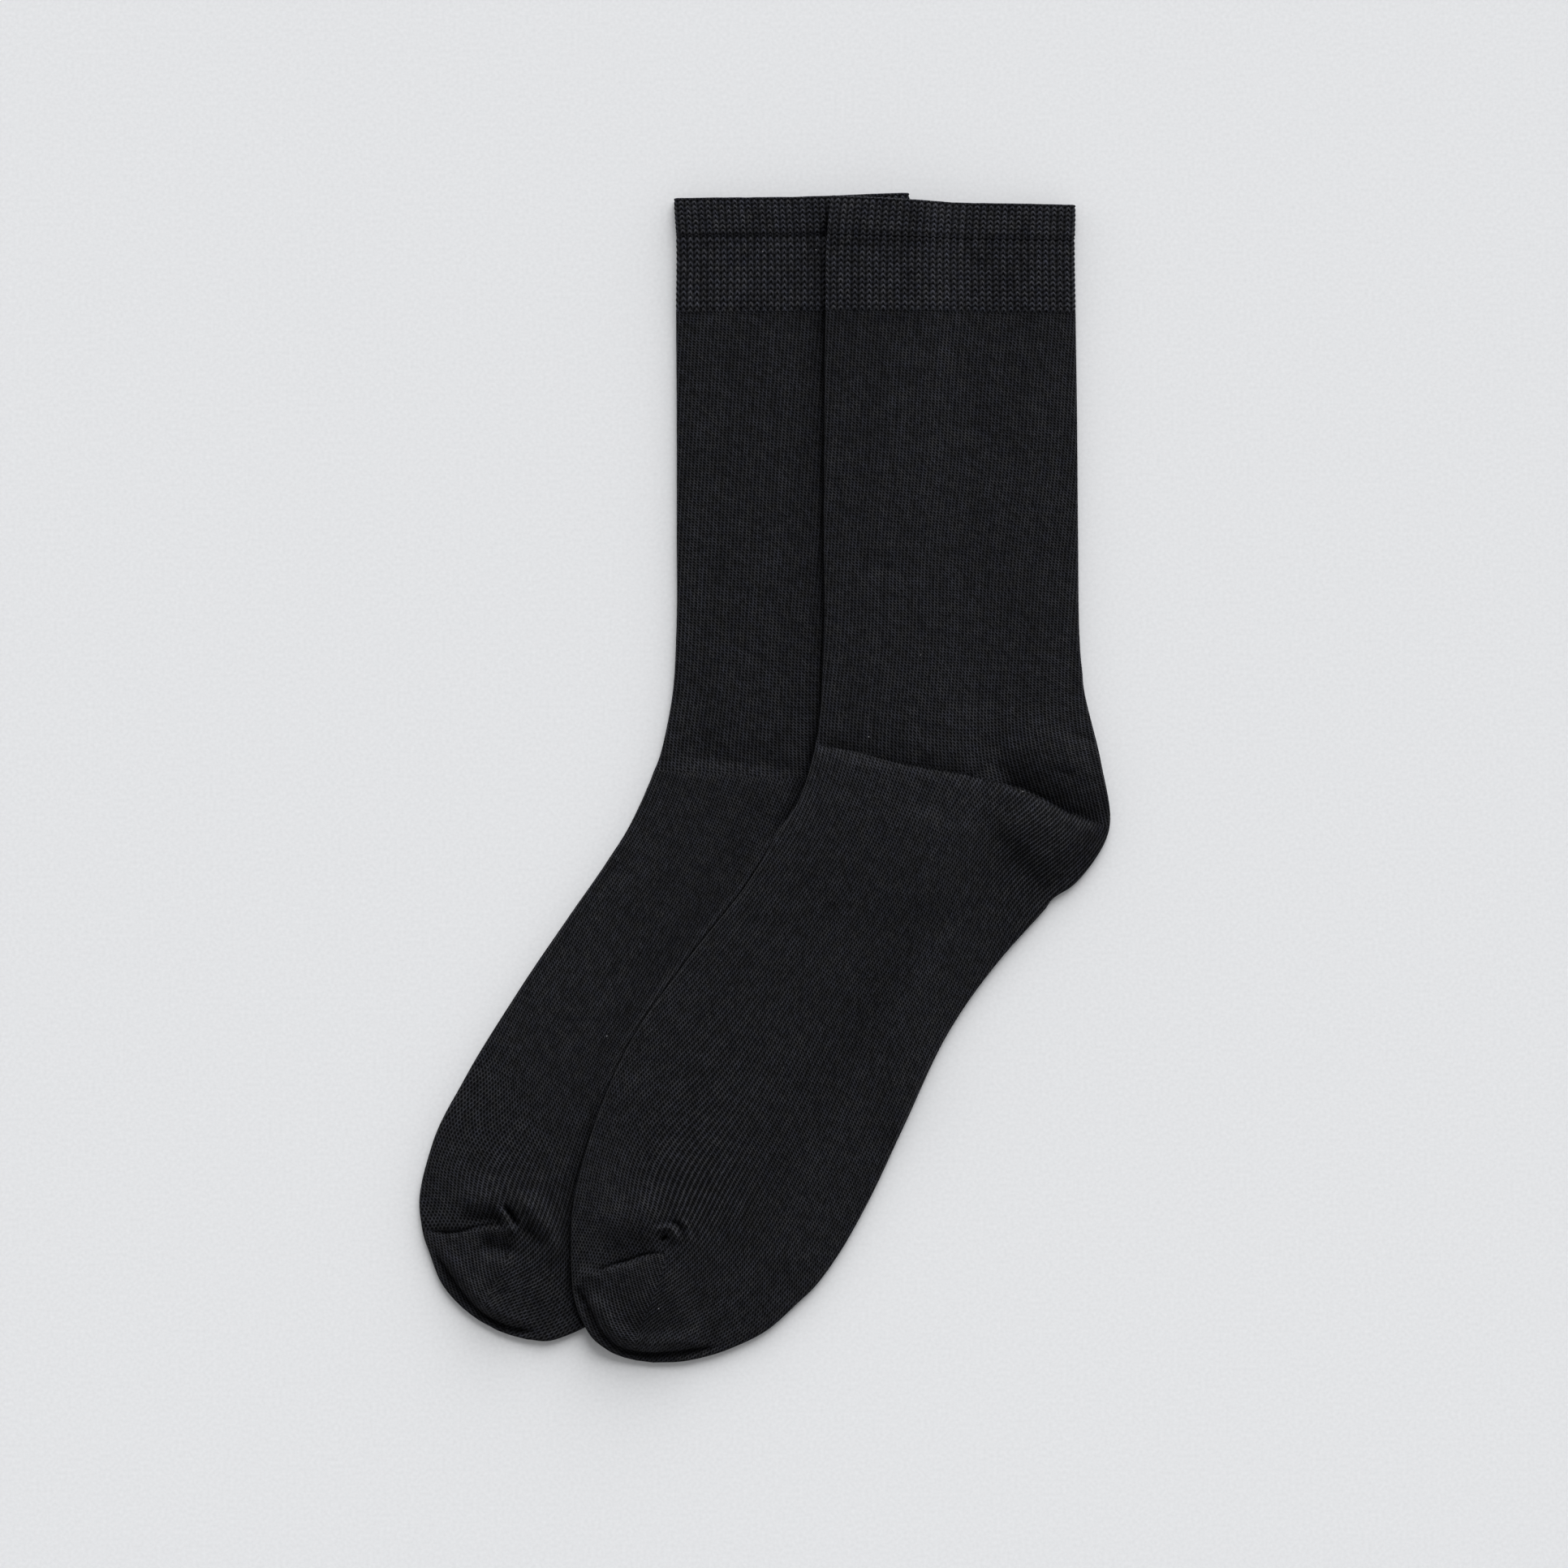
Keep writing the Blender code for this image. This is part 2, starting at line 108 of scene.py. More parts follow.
# Rib and welt where they meet
RIB_TUCK = 0.8  # the cloth below runs this far up under the piece above
RIB_DROP = 0.35  # how far the rib sinks towards the leg, and over what length
RIB_FADE = 1.2
WELT_GROOVE = 0.12  # the groove under the welt
GROOVE_WIDTH = 1.0
WELT_TURN = 11.0  # how far the turned welt runs down the inside
WELT_CURL = 0.42  # how far the welt thins towards its lower end, and over what length
WELT_CURL_REACH = 1.5
WELT_BOW = 0.25  # how far the welt rounds down to its edge, and over what length
WELT_BOW_REACH = 5.0

# Colours of the yarn and of the gaps between, and how the yarn's hue drifts
YARN = (0.0276, 0.0282, 0.0322)
RIB_YARN = (0.0405, 0.0414, 0.0477)
GAP = (0.0012, 0.0012, 0.0014)
COOL = (0.86, 0.92, 1.18)
WARM = (1.10, 1.05, 0.86)
HUE_SCALE = 330.0  # this and every other noise scale counts waves a metre

# How light the cloth is from place to place
TAUT_MERGE = 0.62  # how far the gap in a taut stitch closes
TAUT_AND_LIT_LIGHTENING = 1.3  # how much lighter taut cloth is: partly the stretched knit, partly painted light on the lit heel pocket and swells
STRAND_VARY = 0.12  # how much the yarn of one wale differs
MOTTLE_SCALES = (45.0, 380.0)
FIBRE_SCALE = 3600.0
FIBRE_LOW = 0.2
NOISE_DETAIL = 2.0
FINE_DETAIL = 1.0  # for the finest noise

# Where the stitches wander, and the rib's holes and bumps in its shading
WALE_WANDER_SCALE = 900.0
COURSE_WANDER_SCALE = 700.0
HOLE_SHARPNESS = 2.5
HOLE_DARKNESS = 0.6
PURL_SHARPNESS = 6.0
PURL_LIGHT = 0.8

# How the cloth's surface shines
STITCH_DEPTH = 0.0003  # of the bump, in metres
GAP_ROUGHNESS = 0.95
YARN_ROUGHNESS = 0.85
CLOTH_SPECULAR = 0.04
SHEEN = 0.02
SHEEN_ROUGHNESS = 0.5
LINT = (0.22, 0.22, 0.23, 1.0)
LINT_SCALE = 60.0  # one possible speck to each 1/60 m square
LINT_RADIUS = 0.00018
LINT_RARITY = 0.96

# Floor: pale paper with a fine grain and a slow drift, in metres
FLOOR_SIZE = 6.0
FLOOR_SINK = 0.0002
FLOOR_DARK = (0.726, 0.735, 0.753, 1.0)
FLOOR_LIGHT = (0.856, 0.865, 0.883, 1.0)
FLOOR_ROUGHNESS = 0.9
GRAIN_SCALE = 900.0
GRAIN_SHARE = 0.85
DRIFT_SCALE = 1.5

# Light: a broad soft sun from beyond the cuffs, and a grey-white sky with a bright band at the horizon
SUN_HEIGHT = 30.0
SUN_SPREAD = 50.0
SUN_TURN = 12.0  # towards the heels
SUN_STRENGTH = 3.0
SKY_STRENGTH = 0.2
HORIZON_STRENGTH = 8.0
HORIZON_BAND = 4.0  # the higher, the narrower the band
HORIZON_LEVEL = 0.55  # its share all round, and how much more there is beyond the cuffs and the heels
HORIZON_CUFFS = 0.4
HORIZON_HEELS = 0.12

# Camera, in metres, and its sensor in millimetres
PICTURE_WIDTH = 0.5023  # what the picture spans at the table
PICTURE_CENTRE = (0.00624, -0.00195)
CAMERA_HEIGHT = 2.2
SENSOR_WIDTH = 36.0


def table(kind, rows):
    """Rows with named columns."""
    return [kind(*row) for row in rows]


# A section crosses the flattened tube from its front (instep) fold over the side line to its back fold.
# "step" is the distance between the grid's rows down to the next section.
Section = namedtuple("Section", "name front_x front_y side_x side_y back_x back_y step")

OVER_SECTIONS = table(Section, [
    ("cuff_edge", 21.3, 186.2, 60.3, 184, 99.6, 183.4, 1),
    ("welt_end", 20, 173.8, 59.5, 172.5, 99.3, 172, 1),
    ("rib_end", 19.5, 149.4, 59.5, 149.1, 99.6, 148.8, 1.3),
    ("calf", 19.2, 114, 59.8, 113.8, 100.1, 113.5, 1.3),
    ("mid_leg", 19, 77.6, 60.3, 77.1, 100.4, 76.6, 1.3),
    ("low_leg", 19.1, 46.4, 61.9, 45.1, 100.8, 46.4, 1),
    ("ankle", 18.2, 25.6, 67.6, 19.9, 101.7, 34.5, 0.7),
    ("heel_top", 17.3, 15.7, 70.2, 3, 103.2, 23.8, 0.5),
    ("heel_upper", 16.9, 13.1, 71, 1.4, 107.8, 4.8, 0.5),
    ("gore", 16.4, 10.8, 71.8, -0.3, 110.4, -16.2, 0.5),
    ("heel_lower", 15.6, 7.2, 71.5, -2, 104.9, -27.4, 0.5),
    ("heel_under", 15, 4.8, 71.1, -3, 98.3, -34.8, 0.5),
    ("heel_notch", 14.3, 2.2, 70.5, -4.3, 93.5, -37.8, 0.6),
    ("foot_start", 12, -4.8, 66, -9.8, 89.7, -42.2, 1),
    ("instep", 4.9, -16.5, 54.1, -29, 75.9, -57.6, 1.3),
    ("arch", -6.5, -35.2, 31.2, -60.7, 58.9, -81.5, 1.3),
    ("mid_foot", -25.2, -58.9, 11.2, -86.2, 44.7, -111.4, 1.3),
    ("ball", -45.2, -88.8, -8.8, -112.7, 33, -136.1, 1),
    ("toe_approach", -57.2, -120, -20.3, -133, 22.9, -153.8, 0.5),
    ("toe_near", -61.4, -138.2, -27, -141.6, 17.2, -161.6, 0.35),
    ("toe_seam", -61.6, -160.8, -31.2, -151.5, 11.2, -167.6, 0.4),
    ("toe_1", -60.6, -167.6, -33, -158.7, 0.3, -177.2, 0.45),
    ("toe_2", -58.5, -173.3, -35.4, -165.2, -10.9, -182.7, 0.45),
    ("toe_3", -54.9, -179.3, -38, -172, -19.2, -185.4, 0.4),
    ("toe_4", -49.4, -183.6, -40.8, -178.2, -27, -186.9, 0.4),
    ("toe_end", -45, -185.5, -41, -186.5, -35.6, -187.2, 0),
])

UNDER_SECTIONS = table(Section, [
    ("cuff_edge", -29.1, 185.5, 8.6, 185.8, 46.3, 187.3, 1),
    ("welt_end", -28.3, 173.6, 9.4, 173.8, 47.3, 174.6, 1),
    ("rib_end", -28.3, 149.1, 9.6, 149.4, 47.6, 149.6, 1.3),
    ("calf", -28.1, 114, 9.9, 114.3, 48.1, 114.5, 1.3),
    ("mid_leg", -28.1, 77.6, 10.9, 77.9, 48.4, 78.1, 1.3),
    ("low_leg", -28.2, 47.7, 12.5, 47.7, 48.9, 48.5, 1),
    ("ankle", -29.6, 25.6, 18.2, 20.9, 49.9, 34.5, 0.8),
    ("heel_top", -32.8, 9.5, 21.3, 2.2, 51.7, 24.3, 0.6),
    ("heel_upper", -34.1, 5.3, 22.1, 0.4, 56.7, 6.1, 0.8),
    ("gore", -35.4, 2.2, 22.6, -0.7, 61.4, -15.5, 0.8),
    ("heel_lower", -36.7, -1.2, 22.4, -2.2, 55.9, -26.4, 0.8),
    ("heel_under", -37.7, -3.5, 21.8, -3.2, 49.1, -33.4, 0.8),
    ("heel_notch", -38.7, -5.9, 21.1, -4.5, 44.5, -36.3, 1),
    ("foot_start", -42.1, -13.1, 16.1, -10.8, 41.1, -40.2, 1.2),
    ("instep", -50.2, -26.4, 3.4, -32.9, 28.6, -56.6, 1.3),
    ("arch", -61.9, -43.3, -19.2, -64.1, 11.4, -80, 1.3),
    ("mid_foot", -79.3, -69, -40.8, -93.5, -5.7, -110.9, 1.3),
    ("ball", -96.2, -96.6, -57.2, -115.3, -18.2, -134.3, 1),
    ("toe_approach", -106.6, -117.9, -70.2, -130.4, -26.5, -149.9, 0.4),
    ("toe_near", -110.5, -135.1, -78, -138.2, -31.2, -156.9, 0.35),
    ("toe_seam", -109.5, -145, -81.1, -144.4, -36.9, -162.4, 0.35),
    ("toe_1", -107.4, -151.7, -82.7, -154.6, -44.7, -168.3, 0.4),
    ("toe_2", -103.5, -161.6, -85.8, -160.8, -52.5, -173, 0.4),
    ("toe_3", -98.8, -167.6, -88.4, -165.2, -60.1, -177.2, 0.4),
    ("toe_4", -93.1, -172.5, -88.9, -169.9, -68.1, -180.1, 0.4),
    ("toe_end", -85.5, -176.9, -81.1, -178.5, -75.9, -179.8, 0),
])

# A fold is a soft ridge (height above 0) or trough (below 0) along a smooth curve through a few points.
# Its two widths are measured to the left and to the right of the way along it. Its shape is 2 where it is
# round across, and nearer to 1 the sharper its crease.
Fold = namedtuple("Fold", "name height left right shape through")

OVER_FOLDS = table(Fold, [
    ("ankle_crease", -1.5, 3.2, 1.6, 1.2, (
        (12.4, 11), (25.2, 9.2), (41.3, 5.1), (54, 2.6), (63, 1.2), (73, -1.4),
    )),
    ("ankle_ridge", 0.4, 2.5, 7, 1.8, ((16.7, 5.8), (31.5, 3.2), (43.4, 0.3))),
    ("heel_swell", 1.8, 8, 9, 2, ((76, 10.5), (92, 7.2), (106, 1))),
    ("gore", -3.6, 4.8, 1.3, 1.2, ((72, -1), (80.3, -2.7), (86.8, -5.3), (97.5, -11.3), (110.2, -15.6))),
    ("gore_ridge", 1, 4, 12, 1.8, ((78.6, -9.3), (84.2, -12.8), (94.4, -18), (104.1, -22.2))),
    ("heel_ridge", 1.4, 11, 6, 2, ((75, -8.5), (81.3, -16.5), (87.5, -24), (94.6, -32.6))),
    ("heel_valley", -0.8, 3.5, 4, 1.6, ((66.4, -7.5), (72.6, -17), (78.6, -24.6), (85.4, -31.9), (91, -41))),
    ("heel_wrinkle", -0.75, 1.6, 1.6, 1.6, ((92.3, 2.5), (96.5, 1.2), (100.9, 0.1))),
    ("heel_wrinkle_high", -0.45, 1.8, 1.8, 1.6, ((96.7, 14.2), (101.1, 12.9), (106.1, 11.1))),
    ("instep_swell", 1, 12, 25, 2, ((8, -8), (30, -14), (58, -20))),
    ("foot_swell", 1.7, 10, 9, 2, ((56, -8), (51.5, -40), (47, -76), (45.5, -120))),
    ("leg_dip", -0.5, 4, 3, 1.8, ((25.5, 68.8), (35.9, 66.7), (45.8, 66.2))),
    ("cuff_wave", -0.6, 7, 7, 2, ((64.5, 171.2), (72.8, 158.2), (83.2, 142.6))),
    ("toe_brow", 1.6, 7, 5.5, 2, ((-55, -143.5), (-43, -141), (-31, -138.5))),
    ("toe_bulk", 1.8, 13, 13, 2, ((-44, -168), (-34, -168.5), (-22, -164))),
    ("toe_hollow", -1.8, 7, 2.2, 1.7, ((-52.4, -155.8), (-41.6, -151.9), (-33.4, -149.2))),
    ("toe_seam", -1.8, 0.8, 0.7, 1.3, (
        (-30.7, -151.5), (-38.7, -152.5), (-42.9, -154.1), (-49.4, -155.9), (-55.6, -158.7),
    )),
    ("toe_corner", 0.9, 2.2, 2.2, 1.8, ((-60.8, -160), (-57.2, -159.2), (-52, -158))),
    ("toe_corner_hollow", -1.6, 1.8, 2.4, 1.8, ((-60.4, -162.4), (-58.8, -165.8), (-56.6, -169.4))),
    ("pucker_ridge", 1.6, 1, 1.1, 1.8, (
        (-34.6, -147.4), (-34.2, -144.9), (-31.9, -143.5), (-29.3, -144.5), (-28.4, -147.2), (-29.4, -149.6),
    )),
    ("pucker_ring", -0.9, 0.7, 0.8, 1.8, (
        (-31.5, -141.7), (-28, -142.6), (-26.1, -145.4), (-26, -148.6), (-27.7, -151.4),
    )),
    ("pucker_outer", 0.7, 0.8, 0.9, 1.8, (
        (-28.6, -140.4), (-25.2, -142.2), (-24.2, -146), (-24.8, -150), (-27.2, -153.6),
    )),
    ("pucker_hole", -2.6, 0.7, 0.7, 1.8, ((-33.2, -148.4), (-32, -147), (-30.4, -146.4))),
    ("toe_mitre", -0.7, 2.5, 2.5, 1.6, ((-30.2, -154.3), (-33.3, -160.6), (-36.4, -169.1), (-43.9, -181.3))),
    ("toe_rim", -3.6, 0.7, 1.6, 1.4, (
        (-58.8, -164.2), (-54.9, -172.2), (-52.5, -177.2), (-45.8, -182.9), (-39.5, -184.2), (-29.1, -184),
        (-14.2, -181.8),
    )),
    ("toe_edge", 2.1, 3.5, 1.2, 1.8, (
        (-56.7, -163.2), (-52.8, -169.9), (-49.4, -175.6), (-43.7, -179.8), (-38, -181.1), (-28.6, -180.6),
        (-18.2, -179.8),
    )),
])

UNDER_FOLDS = table(Fold, [
    ("ankle_crease", -1.3, 8, 4, 1.7, ((-31.2, 7.9), (-16.1, 5.9), (-0.5, 4.5), (12.5, 2.2))),
    ("ankle_ridge", 0.3, 3, 8, 1.8, ((-32.2, 0.1), (-10.9, -0.9), (8.6, -3))),
    ("toe_brow", 1.8, 6, 3.2, 2, ((-99, -136.8), (-90, -135.8), (-81.5, -136.8))),
    ("toe_bulk", 1.6, 12, 12, 2, ((-94, -157), (-85, -159), (-76, -160))),
    ("toe_dimple", -2.4, 3.6, 1.5, 1.8, ((-99, -141.7), (-89, -141), (-79, -142.2))),
    ("toe_seam", -1.8, 0.9, 0.8, 1.3, (
        (-110, -144.7), (-103.2, -145.5), (-98.5, -145.3), (-91.3, -143.5), (-85, -142.9), (-78.5, -143.6),
    )),
    ("toe_hollow", -3, 3.6, 3, 1.8, ((-93, -149.4), (-85.5, -150.4), (-77.5, -153))),
    ("toe_pinch", 2.8, 1.1, 1.4, 1.7, ((-85.8, -136.1), (-83.2, -140), (-81.1, -143.7), (-80.1, -147.8))),
    ("toe_slot", -3, 0.9, 0.8, 1.6, ((-84, -136.4), (-81.9, -139), (-80.1, -141.8), (-78.8, -144.7))),
    ("toe_trough", -1.6, 1.6, 2.4, 1.7, ((-79, -142.9), (-75.9, -145), (-72.8, -147.6), (-69.4, -151.5))),
    ("toe_ridge", 2, 4, 3, 1.8, (
        (-81.6, -132.5), (-75.9, -137.2), (-71.5, -141.6), (-68.6, -146.5), (-67.1, -157.7),
    )),
    ("toe_mitre", -0.4, 1.8, 1.8, 1.6, ((-80.6, -152.5), (-83.7, -158.2), (-88.4, -163.9), (-92, -166.8))),
    ("toe_rim", -3.6, 0.7, 1.6, 1.4, (
        (-105.8, -151.5), (-102.4, -156.9), (-98.8, -162.6), (-90.2, -171.7), (-83.7, -175.4),
        (-71.8, -177.6),
    )),
    ("toe_edge", 2.1, 3.5, 1.2, 1.8, (
        (-103.2, -149.9), (-99.8, -155.3), (-96.2, -160.8), (-88.1, -169.4), (-82.2, -172.5),
        (-73.3, -174.6),
    )),
])

# Along the over sock's edge the under sock's cloth dips, or rises to meet it where the height is above 0.
# It does so over this width, this far out from the edge, and it lies pressed flat out to this reach. From
# one row to the next these change evenly.
Contact = namedtuple("Contact", "y height width out reach")
CONTACTS = table(Contact, [
    (-190, -1.6, 0.85, 0, 6),
    (-148, -1.6, 0.85, 0, 6),
    (-128, -0.9, 0.75, 0.2, 4),
    (-112, -0.2, 0.75, 0.3, 3),
    (-98, 1.7, 0.8, 0.4, 1.4),
    (-22, 1.7, 0.8, 0.4, 1.4),
    (-12, -0.6, 1.1, 0, 4),
    (2, -1.2, 1.2, 0, 5),
    (14, -1.8, 0.85, 0, 8),
    (146, -1.8, 0.85, 0, 8),
    (152, -1.3, 0.6, 0, 8),
    (169.5, -1.3, 0.6, 0, 8),
    (173.8, -1.9, 1.7, 0.3, 8),
    (177.5, -1.5, 0.9, 0, 8),
    (183, 0, 0.85, 0, 8),
])

# How the wales run: the width of a wale, the height of a course, and how the lines of stitches lean at a few
# places. The angle is in degrees from straight down the leg, towards the toe's side, and between the places
# it turns smoothly.
Lean = namedtuple("Lean", "x y angle")
Knitting = namedtuple("Knitting", "wale course leans")

OVER_LEG = Knitting(1.14, 0.90, table(Lean, [
    (32, 150, 4), (60, 150, 5), (90, 150, 4.5), (32, 130, 4), (60, 130, 5), (90, 130, 4.5), (32, 101, 4),
    (60, 101, 5.2), (90, 101, 5.5), (32, 70, 3.5), (60, 70, 4.5), (90, 70, 6), (32, 42, 4),
    (60, 42, 2.3), (90, 42, 3), (32, 20, 7), (60, 20, 3), (88, 22, -1), (85.8, 14.2, -7),
    (98.3, 14.2, -11), (73.3, 7.9, -4), (85.8, 7.9, -14), (98.3, 7.9, -12), (73.3, 1.7, -16),
    (85.8, 1.7, -20), (104.5, 1.7, -14), (90.5, -4.6, -20), (104.8, -4.6, -12),
]))
OVER_FOOT = Knitting(1.05, 0.93, table(Lean, [
    (20.3, -0.4, 19), (51.5, -0.4, 17), (73.3, -10.8, 47), (85.8, -10.8, 55), (92, -10.8, 46),
    (73.3, -17, 43), (85.8, -17, 55), (98.3, -17, 40), (104.5, -17, 29), (73.3, -29.5, 37),
    (85.8, -29.5, 52), (98.3, -29.5, 46), (4.7, -16, 30), (51.5, -16, 27), (2.1, -31.6, 35),
    (48.9, -31.6, 30), (-3.1, -47.2, 36), (43.7, -47.2, 33), (-10.9, -62.8, 39), (51.5, -62.8, 33),
    (-26.5, -78.4, 41), (35.9, -78.4, 30), (-42.1, -94, 34), (-10.9, -94, 39), (35.9, -94, 27),
    (-42.1, -109.6, 31), (-10.9, -109.6, 36), (35.9, -109.6, 26), (-42.1, -125.2, 22),
    (-10.9, -125.2, 32), (20.3, -125.2, 32), (-58.8, -140.8, 5), (-46.3, -140.8, 8), (-33.8, -140.8, 13),
    (-21.3, -140.8, 28), (-8.8, -140.8, 35), (-27.6, -153.3, 54), (-15.1, -153.3, 44), (3.6, -153.3, 38),
    (-33.8, -165.8, 66), (-21.3, -165.8, 54), (-2.6, -165.8, 45), (-27.6, -178.2, 65),
    (-8.8, -178.2, 50),
]))
OVER_TOE = Knitting(1.02, 0.90, table(Lean, [
    (-58.8, -153.3, -1), (-46.3, -153.3, -10), (-33.8, -153.3, -15), (-52.5, -159.5, -12),
    (-36, -159.5, -19), (-51.2, -172, -13), (-41, -172, -26), (-46.3, -178.2, -34), (-42.1, -178.2, -39),
]))
UNDER_LEG = Knitting(1.175, 0.90, table(Lean, [
    (-20, 150, 4), (8, 150, 4.6), (45, 150, 5), (-20, 128, 4), (8, 128, 4.8), (45, 128, 5),
    (-20, 101, 2.8), (8, 101, 5.2), (45, 101, 5), (-20, 70, 3.2), (8, 70, 5.5), (45, 70, 5),
    (-20, 45, 2.5), (8, 45, 5.5), (45, 45, 1), (-20, 25, 6), (8, 25, 2), (-20, 15, 10), (8, 15, 2),
    (45, 10, -12), (55, -4, -14),
]))
UNDER_FOOT = Knitting(1.0, 0.90, table(Lean, [
    (-25, -0.4, 19), (10, -0.4, 21), (30, -12, 45), (48, -22, 48), (-30, -16, 30), (10, -16, 30),
    (-45, -31.6, 34), (-50, -47.2, 34), (0, -47.2, 33), (-65, -62.8, 33), (-75, -78.4, 34),
    (-30, -78.4, 33), (-85, -94, 31), (-35, -105, 30), (-100.9, -125.2, 19), (-90, -125.2, 20),
    (-77, -125.2, 27), (-65, -125.2, 22), (-107.1, -137.7, -4), (-94.6, -137.7, -7), (-82.2, -137.7, 19),
    (-69.7, -137.7, 27), (-75.9, -149.9, 55), (-68, -149.9, 35), (-80, -156.4, 69), (-73, -156.4, 63),
    (-62, -156.4, 28), (-82, -168.9, 83), (-70, -168.9, 60), (-60, -168.9, 48),
]))
UNDER_TOE = Knitting(1.0, 0.90, table(Lean, [
    (-107.1, -149.9, -9), (-88, -149.9, -8), (-103, -156.4, -11), (-86, -156.4, -10), (-95, -162.7, -19),
    (-88.5, -162.7, -16), (-90, -168.5, -30),
]))

# Where the cloth is drawn taut and its wales stand out as lines. The spots lie on the lit heel pocket and
# swells, so the lightening they bring is partly painted light.
TautAndLitSpot = namedtuple("TautAndLitSpot", "x y reach amount")
OVER_TAUT_AND_LIT = table(TautAndLitSpot, [
    (98, -20, 16, 0.9), (80, 9, 13, 0.45), (84, -26, 18, 0.8),
    (-20, -134, 14, 0.8), (-34, -167, 14, 0.6), (-2, -152, 16, 0.4),
    (10, -36, 36, 0.4), (-8, -88, 36, 0.35), (-50, -168, 10, 0.4),
])
UNDER_TAUT_AND_LIT = table(TautAndLitSpot, [
    (-70, -138, 10, 0.4), (-72, -158, 14, 0.55), (-94, -158, 12, 0.3),
    (-30, -60, 36, 0.3),
])

# What each section of one sock is knitted as, laid out flat, in metres: all the way round a tube, and down
# it. The area is given where it isn't the width times the length.
Cut = namedtuple("Cut", "name width length area")
CUTS = table(Cut, [
    ("welt", 0.160, 0.026, None),
    ("rib_cuff", 0.162, 0.025, None),
    ("leg", 0.165, 0.149, 0.0232),
    ("heel", 0.082, 0.062, 0.0030),
    ("foot", 0.194, 0.178, 0.0290),
    ("toe", 0.166, 0.040, 0.0036),
])

# How a knit looks, in its own stitches: how far its yarn slants in courses a wale, how square its columns
# are, how far its gaps are closed and how sharply they darken. Then its colours, the strength of its bump,
# how far its stitches wander, how dark its mottling is at its darkest and how much single stitches differ.
Knit = namedtuple("Knit", "ribbed slant square merge sharp light dark bump wander mottle vary")
JERSEY = Knit(
    ribbed=False, slant=0.7, square=2.0, merge=0.25, sharp=2.1, light=YARN, dark=GAP,
    bump=0.9, wander=0.16, mottle=0.85, vary=0.4,
)
RIB = Knit(
    ribbed=True, slant=ARCH_DROP, square=ARCH_SQUARENESS, merge=0.48, sharp=1.4, light=RIB_YARN, dark=GAP,
    bump=0.3, wander=0.2, mottle=0.96, vary=0.22,
)


def taut_and_lit_amount(points, spots):
    """From 0 to 1, how far the cloth is drawn taut at each point. The same share also paints light on the lit
    heel pocket and swells.
    """
    total = np.zeros(len(points))
    for spot in spots:
        distance = np.linalg.norm(points[:, :2] - (spot.x, spot.y), axis=1)
        total += spot.amount * np.exp(-((distance / spot.reach) ** 2))
    return np.clip(total, 0.0, 1.0)


def smoothstep(value):
    value = np.clip(value, 0.0, 1.0)
    return value * value * (3.0 - 2.0 * value)


def thickness(wall):
    return 2.0 * wall + SLIT


def distances(points):
    """How far along a line each of its points lies."""
    return np.concatenate([[0.0], np.cumsum(np.linalg.norm(np.diff(points, axis=0), axis=1))])


class Edge:
    """A closed or open outline, as close points with the way in at each."""

    def __init__(self, points, closed):
        if closed:
            points = np.vstack([points, points[:1]])
        along = distances(points)
        even = np.linspace(0.0, along[-1], int(along[-1] / OUTLINE_STEP))
        self.points = np.column_stack([np.interp(even, along, points[:, k]) for k in (0, 1)])
        way = np.gradient(self.points, axis=0)
        way /= np.linalg.norm(way, axis=1)[:, None]
        self.inwards = np.column_stack([-way[:, 1], way[:, 0]])
        self.tree = kdtree.KDTree(len(self.points))
        for n, (x, y) in enumerate(self.points):
            self.tree.insert((x, y, 0.0), n)
        self.tree.balance()

    def measure(self, points):
        """For each point: how far it lies in from the outline (below 0 outside) and the way in."""
        closest = np.array([self.tree.find((x, y, 0.0))[1] for x, y in points])
        inwards = self.inwards[closest]
        return np.sum((points - self.points[closest]) * inwards, axis=1), inwards


class Sock:
    """One sock's plan: its three running lines, its outline and its folds."""

    def __init__(self, sections, folds):
        self.names = [section.name for section in sections]
        self.steps = [section.step for section in sections]
        self.knots = np.array([section[1:7] for section in sections]).reshape(-1, 3, 2)
        steps = np.linalg.norm(np.diff(self.knots, axis=0), axis=2).mean(axis=1)
        self.station = np.concatenate([[0.0], np.cumsum(steps)])
        self.at = dict(zip(self.names, self.station))
        self.tangents = np.gradient(self.knots, self.station, axis=0)
        self.folds = [self.fold_curve(fold) for fold in folds]
        lines = self.lines(np.arange(0.0, self.station[-1], 1.0).tolist() + [self.station[-1]])
        outline = np.concatenate([lines[:, 0], lines[-1, 1:2], lines[::-1, 2]])
        self.open_edge = Edge(outline, False)
        self.closed_edge = Edge(outline, True)

    def lines(self, station):
        """The front, side and back points at stations along the sock, as an (n, 3, 2) array."""
        return hermite(self.station, self.knots, self.tangents, np.atleast_1d(station))

    def fold_curve(self, fold):
        """A fold with close points along its curve."""
        through = np.array(fold.through)
        along = distances(through)
        close = np.linspace(0.0, along[-1], int(along[-1] / FOLD_STEP) + 2)
        return hermite(along, through, np.gradient(through, along, axis=0), close), along[-1], fold

    def relief(self, points):
        """Height of all folds and of the cloth's small swells together."""
        total = [noise.fractal((x / SWELL, y / SWELL, SWELL_SLICE), *SWELL_NOISE) for x, y in points]
        total = SWELL_HEIGHT * np.array(total)
        for curve, length, fold in self.folds:
            reach = FOLD_REACH * max(fold.left, fold.right)
            near = np.all((points > curve.min(axis=0) - reach) & (points < curve.max(axis=0) + reach), axis=1)
            if near.any():
                distance, side, along = nearest(curve, points[near])
                width = np.where(side > 0.0, fold.left, fold.right)
                fade = min(FOLD_FADE, length / 3.0) / length
                ends = smoothstep(along / fade) * smoothstep((1.0 - along) / fade)
                total[near] += fold.height * ends * np.exp(-((distance / width) ** fold.shape))
        return total


